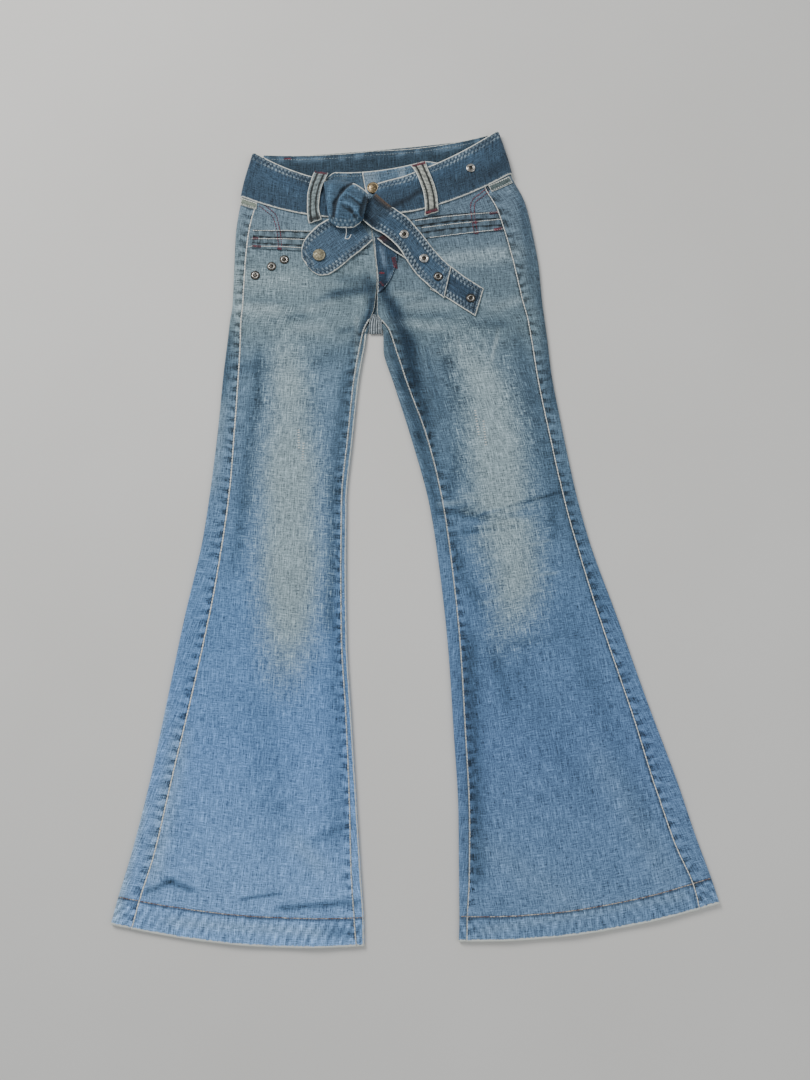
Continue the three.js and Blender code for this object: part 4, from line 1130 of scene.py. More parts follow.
def wrap_grid(table, start, under, lower, upper, gap, levels, counts):
    """A stretch of band on one half: from a share of the way to the side, given for each level,
    round the outer fold and "under" millimetres along the underside, between two edges given as
    rows of the half, and "gap" out from the ring."""
    zones = [np.linspace(0, 1, counts[0])]
    zones += [np.linspace(0, 1, count + 1)[1:] for count in counts[1:]]
    kind = np.repeat([0, 1, 2], [len(zone) for zone in zones])[None] + np.zeros((levels, 1), int)
    level = np.linspace(0, 1, levels)[:, None]
    share = np.concatenate(zones)[None] + 0 * level
    share = np.where(kind == 0, start(level) + (1 - start(level)) * share, share)
    out = np.where(kind == 0, share, 1)
    rows = lower + (upper(out) - lower) * level
    s = section_at(table, rows.ravel())
    share, kind = share.reshape(-1, 1), kind.reshape(-1, 1, 1)
    top, up = top_points(s, (s.top_span - s.outer_turn) * share)
    turn, out_way = turn_points(s, share)
    low, down = under_points(s, s.bottom_span - s.outer_turn - under * share)
    place = np.where(kind == 0, top, np.where(kind == 1, turn, low))
    away = np.where(kind == 0, up, np.where(kind == 1, out_way, down))
    shape = (*rows.shape, 3)
    return (place + away * gap(out).reshape(-1, 1, 1)).reshape(shape), away.reshape(shape), out


def pieces_of_row(grid, level):
    """A path along a band, at a share of the way from its lower edge to its upper one."""
    at = level * (len(grid) - 1)
    i = min(int(at), len(grid) - 2)
    return grid[i] + (grid[i + 1] - grid[i]) * (at - i)


for side, table in HALVES.items():
    grid, away, out = wrap_grid(
        table, lambda level: 0 * level, WAISTBAND_UNDER, PANEL_TOP_ROW + WAISTBAND_GAP_ROWS,
        lambda out, hidden=BAND_HIDDEN[side]: WAIST_ROW - 0.1 * smooth(out, *hidden) * (1 - out)
        - 0.3 * smooth(out, *hidden), lambda out: 0 * out, 22, (80, 10, 4),
    )
    grid = grid + away * (-0.25 * np.exp(-border(grid) / 1.2))[..., None]
    patch = smooth(np.sin(grid[..., 0] / 5.3 + 2 * np.sin(grid[..., 0] / 17)), -0.2, 0.9)
    dye = BAND_DYE[side] + (BAND_WORN - BAND_DYE[side]) * (BAND_PATCHES[side] * patch)[..., None]
    band = cloth_piece(
        f"waistband_{side}", grid, BAND_CLOTH, [f"waistband_front_{side}"], dye, 0,
        border(grid, "end" if side == "right" else "end left") * 0.6, away=away,
    )
    path = pieces_of_row(grid, 0.86)[:80]
    path[:, 2] += 0.1
    sew(f"waistband_stitches_{side}", grey_thread, [stitches(path, 3.6, 2.6, 1.0, 0.6)])

# The back band's inside, seen in the waist's mouth, is painted dark as the shade in there, and painted
# paler towards its upper edge, in patches, where the light reaches in.
INSIDE_SHADE = np.array([48, 65, 78])
ends = []
for table in HALVES.values():
    s = section_at(table, np.linspace(PANEL_TOP_ROW + WAISTBAND_GAP_ROWS, WAIST_ROW, 22))
    start = s.bottom_span - s.outer_turn - WAISTBAND_UNDER - SEAM_GAP
    place, _ = under_points(s, start * (1 - np.linspace(0, 1, 60)))
    ends.append(place)
grid = np.concatenate([ends[0], ends[1][:, ::-1][:, 1:]], axis=1)
inside = grid + np.array([0, 0, BAND_CLOTH])
inside[..., 2] -= 0.25 * np.exp(-border(inside) / 1.2)
patch = smooth(np.sin(grid[..., 0] / 6.1 + 2 * np.sin(grid[..., 0] / 15)), -0.3, 0.9)
patch = (0.3 + 0.9 * patch) * np.exp(-(((border(inside, "end") - 6) / 5) ** 2))
dye = INSIDE_SHADE + (BAND_DYE["left"] - INSIDE_SHADE) * patch[..., None]
band = cloth_piece(
    "waistband_behind", inside, BAND_CLOTH, ["waistband_back"], dye, 0,
    border(inside, "end"),
)
path = pieces_of_row(inside, 0.86)
sew("waistband_behind_stitches", grey_thread, [stitches(path, 3.8, 2.8, 1.1, 0.6)])
sew("waistband_tack", red_thread, [
    stitches(laid_path([(-181, 502.5), (-171, 502.5)]), 0.9, 3.2, 0.8, 0.7, crosswise=True),
])

# The shank button of aged brass at the waistband's overlap, mostly under the knot: a domed cap with
# a rolled rim and a sunk ring.
BUTTON_PLACE = (-56, 455)
BUTTON_PROFILE = [
    # radius height
    (0.0, 0.0), (7.6, 0.0), (8.4, 0.6), (8.5, 1.5), (8.0, 2.2), (7.1, 2.4),
    (6.4, 2.0), (5.4, 2.2), (3.4, 3.2), (1.6, 3.7), (0.0, 3.9),
]


def metal_material(name, bright, tarnish, rough):
    """Plated metal, dull in patches, with a fine scratched grain."""
    material, tree, shader = new_material(name)
    place = add_node(tree, "TexCoord").outputs["Object"]
    patch = add_node(tree, "TexNoise", {"Vector": place, "Scale": 420.0, "Detail": 4.0}).outputs[0]
    grain = add_node(tree, "TexNoise", {"Vector": place, "Scale": 3600.0}).outputs[0]
    share = ease(tree, patch, 0.3, 0.7)
    tree.links.new(blend(tree, share, bright, tarnish), shader.inputs["Base Color"])
    tree.links.new(work(tree, "MULTIPLY_ADD", share, 0.3, rough), shader.inputs["Roughness"])
    bump = add_node(tree, "Bump", {"Height": grain, "Strength": 0.25, "Distance": 0.0002})
    tree.links.new(bump.outputs[0], shader.inputs["Normal"])
    shader.inputs["Metallic"].default_value = 1.0
    return material


aged_brass = metal_material("aged_brass", srgb(176, 156, 122), srgb(76, 64, 46), 0.3)
dull_brass = metal_material("dull_brass", srgb(152, 146, 124), srgb(128, 121, 101), 0.5)
steel = metal_material("tarnished_steel", srgb(226, 222, 214), srgb(120, 114, 104), 0.16)
dark_steel = metal_material("blackened_steel", srgb(96, 92, 86), srgb(40, 38, 36), 0.3)


def turned(name, profile, x, y, z, material, node, steps=40):
    """A round piece: a profile of radius and height carried round its axis. A point on the axis is
    one vertex, and a profile that leaves the axis closes on itself."""
    profile = np.array(profile, float)
    closed = profile[0, 0] > 0
    angle = 2 * np.pi * np.arange(steps) / steps
    ring = profile if closed else profile[1:-1]
    points = np.stack([
        x + ring[:, 0, None] * np.cos(angle),
        y + ring[:, 0, None] * np.sin(angle),
        z + ring[:, 1, None] + 0 * angle,
    ], -1).reshape(-1, 3)
    k = np.arange(steps)
    after = (k + 1) % steps
    pairs = [(i, i + 1) for i in range(len(ring) - 1)] + ([(len(ring) - 1, 0)] if closed else [])
    faces = [np.stack([a * steps + k, a * steps + after, b * steps + after, b * steps + k], -1)
             for a, b in pairs]
    faces = [tuple(face) for face in np.concatenate(faces).tolist()]
    if not closed:
        points = np.concatenate([points, [(x, y, z + profile[0, 1]), (x, y, z + profile[-1, 1])]])
        low, top, last = len(points) - 2, len(points) - 1, (len(ring) - 1) * steps
        faces += [(low, b, a) for a, b in zip(k.tolist(), after.tolist())]
        faces += [(top, last + a, last + b) for a, b in zip(k.tolist(), after.tolist())]
    mesh = bpy.data.meshes.new(name)
    mesh.from_pydata(((points - MIDDLE) * MM).tolist(), [], faces)
    mesh.polygons.foreach_set("use_smooth", np.ones(len(faces), bool))
    return link_piece(name, mesh, material, [node])


def height_at(x, y, width):
    """The height to lie on at one place, for a round piece of about that width."""
    return ground_at(np.array([x], float), np.array([y], float), width)[0]


x, y = BUTTON_PLACE
z = height_at(x, y, 5) + 0.2
turned("shank_button", BUTTON_PROFILE, x, y, z, aged_brass, "waist_button")

# The bands of three tucks below the waistband, one on each front: each tuck is a folded ridge with
# a row of cream stitches, crossed by the pocket's double row of red ones.
TUCKS = {
    # lower edge (xy xy), upper edge (xy xy)
    "right": [(-222, 367, -62, 359), (-220, 395, -66, 388)],
    "left": [(123, 393, -14, 376), (114, 421, -10, 408)],
}
TUCK_LINES = {
    "right": [
        [(-221, 393), (-180, 393.5), (-142, 392.5), (-110, 391)],
        [(-223, 381), (-187, 381.5), (-151, 380), (-115, 378)],
        [(-226, 370), (-190, 370), (-153, 368), (-100, 364)],
    ],
    "left": [
        [(2, 407), (60, 415), (116, 420.5)],
        [(11, 397), (68, 404.5), (120, 410)],
        [(22, 383), (75, 390), (123, 395.5)],
    ],
}
POCKET_CURVES = {
    "right": [
        [(-213, 429), (-203, 421), (-195, 414), (-191, 405), (-188, 392), (-185, 369)],
        [(-207, 431), (-198, 424), (-190, 416), (-186.5, 405), (-183.5, 392), (-180.5, 369)],
    ],
    "left": [
        [(101, 455), (90, 446), (81, 438), (78.5, 429), (79.5, 412), (83, 391)],
        [(105, 451), (94, 442), (86, 436), (83.5, 428), (84, 412), (87.5, 392)],
    ],
}
POCKET_TACKS = {
    "right": [[(-187, 367), (-181, 366.5)], [(-221, 370), (-209, 369.5)], [(-221, 381.5), (-213, 381.5)]],
    "left": [[(82, 390), (89, 391)], [(110, 394.5), (122, 396)], [(104, 418), (116, 420)],
             [(80, 405), (88, 406)]],
}
TUCK_CLOTH = 0.7
TUCK_COUNT = 3
TUCK_RISE = 1.2
for side in HALVES:
    lower, upper = np.array(TUCKS[side])
    level = np.linspace(0.01, 0.99, 40)[:, None]
    share = np.linspace(0, 1, 110)
    left = lower[:2] + (upper[:2] - lower[:2]) * level
    right = lower[2:] + (upper[2:] - lower[2:]) * level
    place = left[:, None] + (right - left)[:, None] * share[:, None]
    place[..., 1] += 3.0 * np.sin(np.pi * share) * (side == "left")
    x, y = place[..., 0], place[..., 1]
    in_tuck = (level * TUCK_COUNT) % 1
    gathers = np.sin(x / 2.1 + 2 * np.sin(x / 11) + 4 * np.floor(level * TUCK_COUNT))
    rise = TUCK_RISE - 0.55 * in_tuck + 0.2 * gathers * in_tuck
    grid = np.stack([x, y, ground_at(x, y, 3) + SEAM_GAP + rise], -1)
    dye, fade = leg_wear_and_shade(x, y, side)
    # Painted shade on the tucks: darker where each runs under the next, and lighter and darker along its
    # gathers.
    shade = 0.86 - 0.5 * smooth(in_tuck, 0.62, 0.95) + 0.2 * gathers * (0.3 + 0.7 * in_tuck)
    tucks = cloth_piece(
        f"tuck_band_{side}", grid, TUCK_CLOTH, [f"pocket_tucks_{side}"],
        dye * shade[..., None], fade * 0.4,
    )
    sew(f"tuck_stitches_{side}", cream_thread, [
        stitches(laid_path(line, 0.1), 3.4, 3.8, 1.2, 0.8) for line in TUCK_LINES[side]
    ])
    sew(f"pocket_stitches_{side}", red_thread, [
        stitches(laid_path(line, 0.1), 3.2, 2.8, 1.6, 0.8) for line in POCKET_CURVES[side]
    ])
    sew(f"pocket_tacks_{side}", red_thread, [
        stitches(laid_path(line, 0.2), 0.9, 4.6, 0.9, 0.9, crosswise=True)
        for line in POCKET_TACKS[side]
    ])

# The short strips sewn over the side seams under the belt, worn pale, with cream topstitching.
SIDE_STRIPS = {
    "right": [[-237.6, 440.5, -238.6, 430], [-227, 436.5, -228, 426.5], [-215.5, 432.6, -216.5, 423]],
    "left": [[103, 459, 108, 449.5], [119, 466, 123.5, 456.5], [132, 472.6, 137, 463]],
}
STRIP_CLOTH = 1.0
STRIP_DYE = {"right": np.array([128, 136, 124]), "left": np.array([86, 98, 98])}
for side, table in SIDE_STRIPS.items():
    grid = rolled(band_grid(np.array(table), 24, 14, 4, SEAM_GAP + 1.0), 0.4)
    strip = cloth_piece(
        f"hip_strip_{side}", grid, STRIP_CLOTH, [f"side_strip_{side}"],
        STRIP_DYE[side], 0, border(grid),
    )
    sew(f"hip_strip_stitches_{side}", cream_thread, [
        stitches(grid[:, column] + [0, 0, 0.1], 3.0, 2.2, 1.1, 0.6) for column in (2, -3)
    ])

# The belt: a wide double strip of darker denim round the waist, its edges turned in, worn white and
# held by two rows of stitches. It passes under both loops and is knotted at the front.
RUN_GAP = 0.5
BELT_UNDER = 26
BELT_BACK_SAG = 3
BUTTON_CLEARANCE = 4.4
BELT_FROM = 0.02
BELT_CUT = 0.075  # how much later the belt's upper edge starts, past the button
BELT_ROW = 16
BELT_DYE = np.array([56, 75, 92])
BELT_PALE = np.array([190, 204, 210])
BELT_DEEP = np.array([30, 44, 58])
SEEN_COLUMNS = 186  # the columns of a run as far as half-way round the outer fold
EDGE_WORN = 0.5  # its worn rim is this much narrower to the shader, so it comes out wider
SWELL_ROWS = (4.4, 9.6)  # the stitched rows' distances from the edge
SWELL_PITCH = 5.8
BELT_CREASES = {
    # fromX fromY toX toY width height
    "right": np.array([
        [-128, 470, -100, 430, 7, 1.0],
        [-150, 462, -120, 448, 6, -0.6],
        [-190, 470, -160, 455, 12, 0.6],
    ]),
    "left": np.array([
        [-40, 452, 8, 470, 7, 0.8],
        [-29, 424, 10, 451, 4.5, -1.0],
        [40, 480, 80, 500, 12, 0.6],
        [60, 462, 110, 478, 10, -0.4],
    ]),
}


def swells(rim, along, seed):
    """Where the cloth swells between the stitches of two rows along an edge, from 0 to 1."""
    total = 0
    for distance, shift in zip(SWELL_ROWS, (0.0, 2.6)):
        turns = 2 * np.pi * along / SWELL_PITCH + shift + 1.2 * np.sin(along / 19 + seed)
        total = total + smooth(np.sin(turns), -0.6, 0.5) * np.exp(-(((rim - distance) / 1.9) ** 2))
    return total


def belt_dye(base, rim, along, swell, seed, pale=0.7):
    """The belt's dye, darker in clouds and between the stitches along its edges, and paler where
    the cloth swells between them."""
    cloud = smooth(np.sin(along / 31 + seed) * np.sin(rim / 9 + 2 * seed), 0, 1)
    deep = 0.3 * cloud + 0.6 * np.exp(-(((rim - 6) / 4.5) ** 2))
    dye = base + (BELT_DEEP - base) * deep[..., None]
    uneven = 0.75 + 0.25 * np.sin(along / 12 + 3 * seed)
    return dye + (BELT_PALE - dye) * (pale * np.clip(swell * uneven, 0, 1))[..., None]


def near_knot(out):
    return 1 - smooth(out, 0.14, 0.34)


def belt_upper(out):
    return WAIST_ROW - 0.02 - 0.42 * (1 - out) - 0.35 * np.maximum(0, 0.4 - out)


def inside_row(grid, distance):
    """A path along a band, at a distance in from its last row."""
    at = (1 - distance / reach(grid, 0)[-1]) * (len(grid) - 1)
    i = np.minimum(at.astype(int), len(grid) - 2)
    column = np.arange(grid.shape[1])
    rest = (at - i)[:, None]
    return grid[i, column] * (1 - rest) + grid[i + 1, column] * rest


for side, table in HALVES.items():
    rise, cut = (BUTTON_CLEARANCE, BELT_CUT) if side == "left" else (0, 0)
    grid, away, out = wrap_grid(
        table, lambda level, cut=cut: BELT_FROM + cut * smooth(level, 0.6, 0.95), BELT_UNDER, BELT_ROW,
        belt_upper,
        lambda out, rise=rise: RUN_GAP + BAND_CLOTH + rise * near_knot(out), 60, (180, 14, 10),
    )
    lift = bells(grid[..., 0], grid[..., 1], BELT_CREASES[side])
    # The creases' heights also tone the dye on top: painted light on their ridges, painted shade in their
    # troughs.
    tone = np.clip(lift, -1, 0.6)
    lift = np.maximum(lift, -0.2) * (away[..., 2] > 0.5) * smooth(border(grid), 0, 8)
    rim = border(grid, "start end")
    swell = swells(border(grid, "end"), reach(grid, 1), 0.7) * (away[..., 2] > 0.5)
    lift = lift + 0.35 * swell - 0.4 * np.exp(-border(grid) / 1.0)
    grid = grid + away * lift[..., None]
    dye = belt_dye(BELT_DYE, border(grid, "end"), reach(grid, 1), swell, 1.3, 0.7)
    dye = dye * (1 + 0.35 * tone * (away[..., 2] > 0.5))[..., None]
    belt = cloth_piece(
        f"belt_{side}", grid, BAND_CLOTH, [f"belt_run_{side}"], dye, 0,
        rim * EDGE_WORN, away=away,
    )
    flat = (0.206, 0.062) if side == "right" else (0.228, 0.068)
    sew(f"belt_stitches_{side}", grey_thread, [
        stitches((inside_row(facing, distance) + [0, 0, 0.05])[:SEEN_COLUMNS], 3.6, 2.6, 0.9, 0.6)
        for facing, distance in ((grid, 2.6), (grid, 7.0), (grid[::-1], 3.0))
    ])

ends = []
for table in HALVES.values():
    s = section_at(table, np.linspace(BELT_ROW, WAIST_ROW - 0.02, 12))
    ends.append(under_points(s, s.bottom_span - s.outer_turn - BELT_UNDER - SEAM_GAP)[0][:, 0])
share = np.linspace(0, 1, 60)[None, :, None]
grid = ends[0][:, None] + (ends[1] - ends[0])[:, None] * share
grid[..., 1] -= BELT_BACK_SAG * 4 * share[..., 0] * (1 - share[..., 0])
grid[..., 2] = 0
down = np.broadcast_to([0.0, 0.0, -1.0], grid.shape)
belt = cloth_piece(
    "belt_behind", grid, BAND_CLOTH, ["belt_back"], BELT_DYE, 0, border(grid),
    away=down,
)

# The two belt loops: strips of denim folded in three, with two sunk columns between three pale
# ridges, worn cream at the edges and tacked down in red, the left one at both ends and the right one
# at one end.
LOOPS = {
    "right": [
        # outerX outerY innerX innerY
        [-137, 479, -118, 477], [-140, 470, -121, 467], [-144, 456, -126, 455],
        [-146.5, 440, -129, 440], [-146.5, 424, -130, 425], [-145.5, 410, -128, 413],
        [-144, 402, -126, 407],
    ],
    "left": [
        [16, 494, -5, 489], [20, 481, 3, 475], [25, 468, 9, 460], [29.5, 455, 13, 447],
        [32.5, 440, 15, 433], [33.5, 428, 15.5, 422], [34, 419, 15, 413],
    ],
}
LOOP_CLOTH = 1.7
LAY_GAP = 0.6
LOOP_DEEP = np.array([48, 50, 50])
LOOP_PALE = {"right": np.array([140, 153, 153]), "left": np.array([182, 184, 172])}
for side, table in LOOPS.items():
    grid = band_grid(np.array(table), 130, 43, 6, LAY_GAP + LOOP_CLOTH)
    share = np.linspace(0, 1, 43)
    ridges = np.cos(2 * np.pi * (share - 0.5) * 2.15)
    along = reach(grid, 0)
    grid[..., 2] += 0.5 * ridges * (1 + 0.3 * np.sin(along / 1.1))
    grid = rolled(grid, 0.7)
    speckle = 0.5 + 0.5 * np.sin(along / 0.9 + 3 * np.sin(along / 7) + 9 * share)
    tone = smooth(ridges, -1.0, -0.1) * (0.7 + 0.3 * speckle)
    tone = tone * (1 - 0.85 * np.exp(-(((border(grid, "end") - 4.6) / 2.6) ** 2)))
    dye = LOOP_DEEP + (LOOP_PALE[side] - LOOP_DEEP) * tone[..., None]
    loop = cloth_piece(
        f"carrier_{side}", grid, LOOP_CLOTH, [f"belt_loop_{side}"], dye, 0,
        border(grid) * 0.6,
    )
    tacks = [
        stitches(grid[row, 2:-2] + [0, 0, 0.3], 1.0, 5.2, 0.95, 1.0, crosswise=True)
        for row in ((5, -8) if side == "left" else (5,))
    ]
    sew(f"carrier_tacks_{side}", red_thread, tacks)

# The belt's tab, with its clipped round end and its snap, comes out from under the knot to the
# wearer's right. Its edge is worn white inside a border of two rows of stitches.
TAB = np.array([
    # upperX upperY lowerX lowerY
    [-88, 424, -56, 378], [-104, 414, -71, 364], [-117, 406, -86, 352], [-128, 399, -97, 342],
    [-138, 392, -107, 334], [-146, 384, -117, 328], [-151, 375, -127, 327],
    [-153.5, 363, -136, 331], [-152.5, 352, -144, 339],
])
TAB_DYE = np.array([74, 95, 114])
BAND_REACH = 10
SNAP_PLACE = (-129, 356)
SNAP_PROFILE = [
    (0.0, 0.0), (8.2, 0.0), (8.7, 0.5), (8.7, 1.0), (8.2, 1.7), (7.4, 1.8), (6.9, 1.5),
    (6.3, 1.7), (4.0, 2.2), (0.0, 2.4),
]


def inset_path(grid, distance):
    """A path that runs inside a band's edges, at a distance from them: up one long side, across
    the far end and back down the other."""
    steps, columns = grid.shape[:2]
    share = np.clip(distance / reach(grid, 1)[:, -1], 0, 0.5) * (columns - 1)
    i = share.astype(int)
    rest = (share - i)[:, None]
    row = np.arange(steps)
    one = grid[row, i] * (1 - rest) + grid[row, np.minimum(i + 1, columns - 1)] * rest
    other = grid[row, columns - 1 - i] * (1 - rest) + grid[row, np.maximum(columns - 2 - i, 0)] * rest
    to_end = border(grid, "end")[:, columns // 2]
    end = int(np.argmax(to_end < distance)) - 1
    across = grid[end, int(share[end]) + 1 : columns - 1 - int(share[end])]
    return np.concatenate([one[:end], across, other[:end][::-1]])


grid = rolled(band_grid(TAB, 110, 60, BAND_REACH, LAY_GAP + BAND_CLOTH), 0.5, edges="left right end")
rim = border(grid, "left right end")
swell = swells(rim, reach(grid, 0) + 40 * (reach(grid, 1) > 28), 0.2)
grid[..., 2] += 0.35 * swell
dye = belt_dye(TAB_DYE, rim, reach(grid, 0), swell, 0.9)
tab = cloth_piece(
    "tab_with_round_end", grid, BAND_CLOTH, ["belt_tab"], dye, 0, rim * EDGE_WORN,
)
sew("tab_stitches", grey_thread, [
    stitches(inset_path(grid, distance) + [0, 0, 0.05], 3.2, 2.4, 0.8, 0.6) for distance in (2.6, 7.0)
])
x, y = SNAP_PLACE
turned("snap_cap", SNAP_PROFILE, x, y, height_at(x, y, 6) + 0.1, dull_brass, "tab_snap")

# The belt's other end: it folds under below the knot, and its punched tail hangs to the wearer's
# left, its upper layer ending in a frayed edge over the slanted end of the lower one. By the knot
# its upper edge is rubbed brown.
UNDER_FOLD = np.array([
    [-32, 393, -50, 379], [-20, 388, -40, 371], [-6, 378, -25, 360], [6, 366, -9, 349],
])
TAIL_END = np.array([
    [34, 352, 22, 307], [50, 341, 42, 296], [70, 325, 61, 283], [95, 308, 83, 268],
])
TAIL = np.array([
    [-52, 442, -77, 411], [-35, 427, -60, 395], [-20, 416, -44, 386], [-6, 406, -30, 375],
    [5, 394, -18, 361], [16, 380, -8, 344], [27, 365, 5, 327], [39, 350, 23, 308],
    [51, 338, 41, 293],
])
RUBBED = np.array([96, 74, 58])
FOLD_STAIN = np.array([84, 50, 52])
TAIL_PIECES = [
    # name, node, table, steps, reach, worn edges, dye, flat width and length
    # The under fold's near-black blue is painted shade, where it lies under the tail.
    ("under_fold", "belt_under_fold", UNDER_FOLD, 50, BAND_REACH, "right", (30, 38, 46), (0.024, 0.05)),
    ("tail_lower_end", "belt_tail_end", TAIL_END, 80, BAND_REACH, "left right end", (54, 72, 90),
     (0.048, 0.075)),
    ("tail_upper", "belt_tail", TAIL, 170, BAND_REACH + 2, "left right end", (70, 92, 112),
     (0.044, 0.175)),
]
for name, node, table, steps, reach_over, edges, base, flat in TAIL_PIECES:
    grid = rolled(band_grid(table, steps, 48, reach_over, LAY_GAP + BAND_CLOTH), 0.5)
    along, across = reach(grid, 0), reach(grid, 1)
    rim = border(grid, edges)
    from_knot = smooth(along, 22, 40) if name == "tail_upper" else 1 + 0 * along
    swell = swells(rim, along + 40 * (across > 22), 1.9) * from_knot * (name != "under_fold")
    if name == "tail_upper":
        grid[..., 2] += 0.5 * np.sin(along / 13) * smooth(border(grid), 2, 14)
    grid[..., 2] += 0.35 * swell
    dye = belt_dye(np.array(base), rim, along, swell, 1.9, 0.8)
    wear = rim * EDGE_WORN
    if name == "tail_upper":
        rubbed = np.exp(-((across / 5) ** 2) - (np.maximum(0, along - 24) / 7) ** 2)
        # Painted shadow of the knot: the tail is darker where it comes out from under the knot.
        dye = dye * (0.72 + 0.28 * from_knot)[..., None]
        dye = dye + (RUBBED - dye) * (0.85 * rubbed)[..., None]
        wear = np.where((across < 20) & (along < 30) | (along < 10), FAR, wear)
    if name == "under_fold":
        start = np.exp(-((along / 9) ** 2))
        dye = dye + (FOLD_STAIN - dye) * (0.8 * start)[..., None]
    tail = cloth_piece(name, grid, BAND_CLOTH, [node], dye, 0, wear)
    if name != "under_fold":
        paths = [inset_path(grid, distance) + [0, 0, 0.05] for distance in (2.6, 7.0)]
        start = int(len(paths[0]) * (0.14 if name == "tail_upper" else 0))
        sew(f"{name}_stitches", grey_thread, [
            stitches(path[start : len(path) - start], 3.2, 2.4, 0.8, 0.6) for path in paths
        ])

# The knot: the belt's upper end is wrapped once over the crossing of the two ends and pulled
# tight, so the cloth stands up in ridges that run out from the middle. Only its upper right edge and
# its foot are worn white; a loose thread hangs from the foot.
KNOT = np.array([
    # upperX upperY lowerX lowerY edge crown
    [-124, 460, -116, 403, 18.5, 19], [-114, 463, -109, 396, 19.5, 22.5],
    [-103, 463, -103, 392, 20.5, 25.5], [-91, 460, -94, 391, 21, 27.5],
    [-80, 456, -84, 391, 21.5, 28], [-70, 449, -75, 396, 22, 27.5],
    [-62, 441, -68, 404, 23, 27],
])
KNOT_CLOTH = 2.4
KNOT_FOOT = 3
KNOT_CREASES = np.array([
    # fromX fromY toX toY width height
    [-79, 453, -90, 443, 2.0, 0.9],  # the long ridge from the upper edge round to the foot
    [-90, 443, -100, 430, 2.2, 1.0],
    [-100, 430, -105, 408, 2.2, 1.0],
    [-85, 455, -97, 443, 2.4, -1.4],
    [-97, 443, -107, 426, 2.6, -1.6],
    [-107, 426, -109, 408, 2.6, -1.4],
    [-82, 408, -78, 412, 1.8, 1.2],  # the small fold by the lower right corner
    [-78, 412, -73, 404, 1.8, 1.2],
    [-80, 404, -86, 414, 2.0, -1.2],
    [-92, 424, -80, 416, 2.2, 0.8],
    [-95, 418, -84, 410, 2.0, -0.9],
    [-86, 432, -72, 420, 2.0, -0.9],
    [-90, 437, -74, 426, 2.0, 0.7],
    [-114, 450, -118, 415, 3.4, 0.7],
    [-66, 430, -72, 408, 3.0, -1.6],
])
rows = between(KNOT, np.linspace(0, 6, 120))
share = np.linspace(0, 1, 130)
x = rows[:, 0:1] + (rows[:, 2:3] - rows[:, 0:1]) * share
y = rows[:, 1:2] + (rows[:, 3:4] - rows[:, 1:2]) * share
foot = np.maximum(0, 1 - np.minimum(share, 1 - share) * 8)
z = rows[:, 4:5] + (rows[:, 5:6] - rows[:, 4:5]) * np.sin(np.pi * share) ** 0.7 - KNOT_FOOT * foot
tone = bells(x, y, KNOT_CREASES)
z = np.minimum(z + tone * (1 - foot), 28)
grid = np.stack([x, y, z], -1)
top_edge = np.where(x > -84, np.maximum(0, border(grid, "left") - 2.8), 60)
foot_edge = np.where((x > -106) & (x < -72), border(grid, "right"), 60)
rim = np.minimum(top_edge, foot_edge)
swell = swells(np.where(x > -84, border(grid, "left"), FAR), reach(grid, 0), 0.4)
swell = swell + swells(np.where(x < -76, border(grid, "right"), FAR), reach(grid, 0), 1.1)
# The creases tone the dye too: painted light on their ridges and painted shade in their troughs.
dye = np.array([62, 84, 102]) * (1 + 0.4 * np.clip(tone, -1.2, 0.8))[..., None]
dye = dye + (BELT_PALE - dye) * (0.45 * np.clip(swell, 0, 1))[..., None]
knot = cloth_piece(
    "knot_wrap", grid, KNOT_CLOTH, ["belt_knot"], dye, 0, rim * EDGE_WORN,
)

LOOSE_THREAD = [
    (-92.5, 393, 19), (-91.8, 387, 15), (-93.6, 378, 13.5), (-89.4, 377.5, 13.5), (-85.3, 383.6, 14),
]


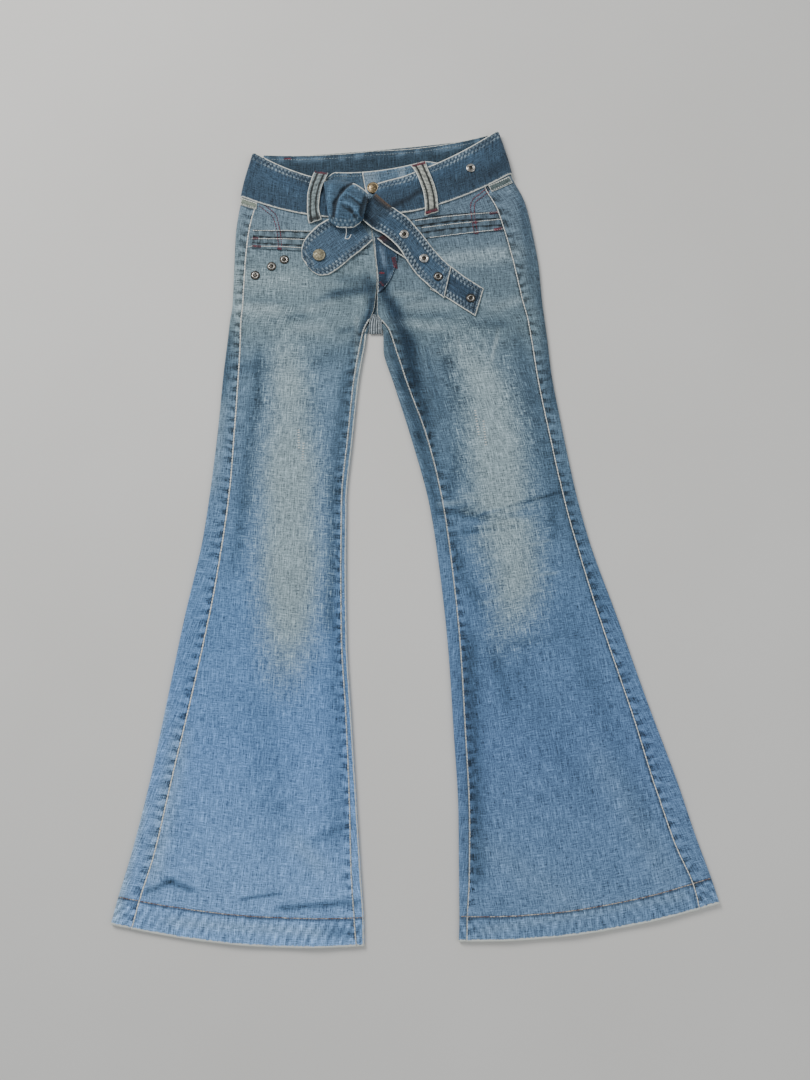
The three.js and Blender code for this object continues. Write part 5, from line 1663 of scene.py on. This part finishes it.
def cord(name, route, radius, material, sides=6, steps=40):
    """A thin thread along a route of points in space: rings of points square to its course."""
    centre = between(np.array(route, float), np.linspace(0, len(route) - 1, steps))
    ahead = np.gradient(centre, axis=0)
    ahead /= np.linalg.norm(ahead, axis=1, keepdims=True)
    side = np.cross(ahead, [0.3, 0.2, 1.0])
    side /= np.linalg.norm(side, axis=1, keepdims=True)
    up = np.cross(side, ahead)
    angle = 2 * np.pi * np.arange(sides) / sides
    ring = side[:, None] * np.cos(angle)[:, None] + up[:, None] * np.sin(angle)[:, None]
    points = (centre[:, None] + radius * ring).reshape(-1, 3)
    low = np.arange(steps - 1)[:, None] * sides + np.arange(sides)
    after = np.arange(steps - 1)[:, None] * sides + (np.arange(sides) + 1) % sides
    faces = np.stack([low, after, after + sides, low + sides], -1).reshape(-1, 4).tolist()
    faces += [list(range(sides))[::-1], list(range((steps - 1) * sides, steps * sides))]
    mesh = bpy.data.meshes.new(name)
    mesh.from_pydata(((points - MIDDLE) * MM).tolist(), [], faces)
    mesh.polygons.foreach_set("use_smooth", np.ones(len(faces), bool))
    return link_piece(name, mesh, material, [])


cord("loose_thread", LOOSE_THREAD, 0.45, cream_thread)

# The eyelets: two-part rings of plated steel pressed through the cloth, with a rolled rim, a dark
# disc inside that is painted shade for the hole, and the washer's edge under it. Those at the pocket
# have gone black outside.
EYELETS = [
    # name x y
    ("eyelet_tail_1", -13, 385), ("eyelet_tail_2", 14, 350), ("eyelet_tail_3", 33, 324),
    ("eyelet_tail_4", 77, 294), ("eyelet_belt", 79, 484), ("eyelet_pocket_1", -216, 328),
    ("eyelet_pocket_2", -194, 341), ("eyelet_pocket_3", -177, 351),
]
BLACKENED = ("eyelet_tail_3", "eyelet_pocket_1", "eyelet_pocket_2", "eyelet_pocket_3", "eyelet_tail_4")
EYELET_PROFILE = [
    (4.2, 0.0), (6.1, 0.0), (6.4, 0.25), (6.3, 0.7), (5.7, 1.1), (4.9, 1.2), (4.2, 0.9),
]
FLANGE_PROFILE = [(2.7, 0.0), (4.3, 0.0), (4.4, 0.9), (3.9, 1.25), (3.2, 1.1), (2.7, 0.5)]
HOLE_SHADE_PROFILE = [(0.0, 0.05), (2.9, 0.05), (2.9, 0.16), (1.0, 0.12), (0.0, 0.1)]
for name, x, y in EYELETS:
    z = height_at(x, y, 5) + 0.1
    ring_metal = dark_steel if name in BLACKENED else steel
    turned(f"ring_{name}", EYELET_PROFILE, x, y, z, ring_metal, name)
    turned(f"flange_{name}", FLANGE_PROFILE, x, y, z, steel, name)
    # A dark disc across the hole: painted shade for the hole.
    turned(f"hole_shade_{name}", HOLE_SHADE_PROFILE, x, y, z, dark_steel, name)
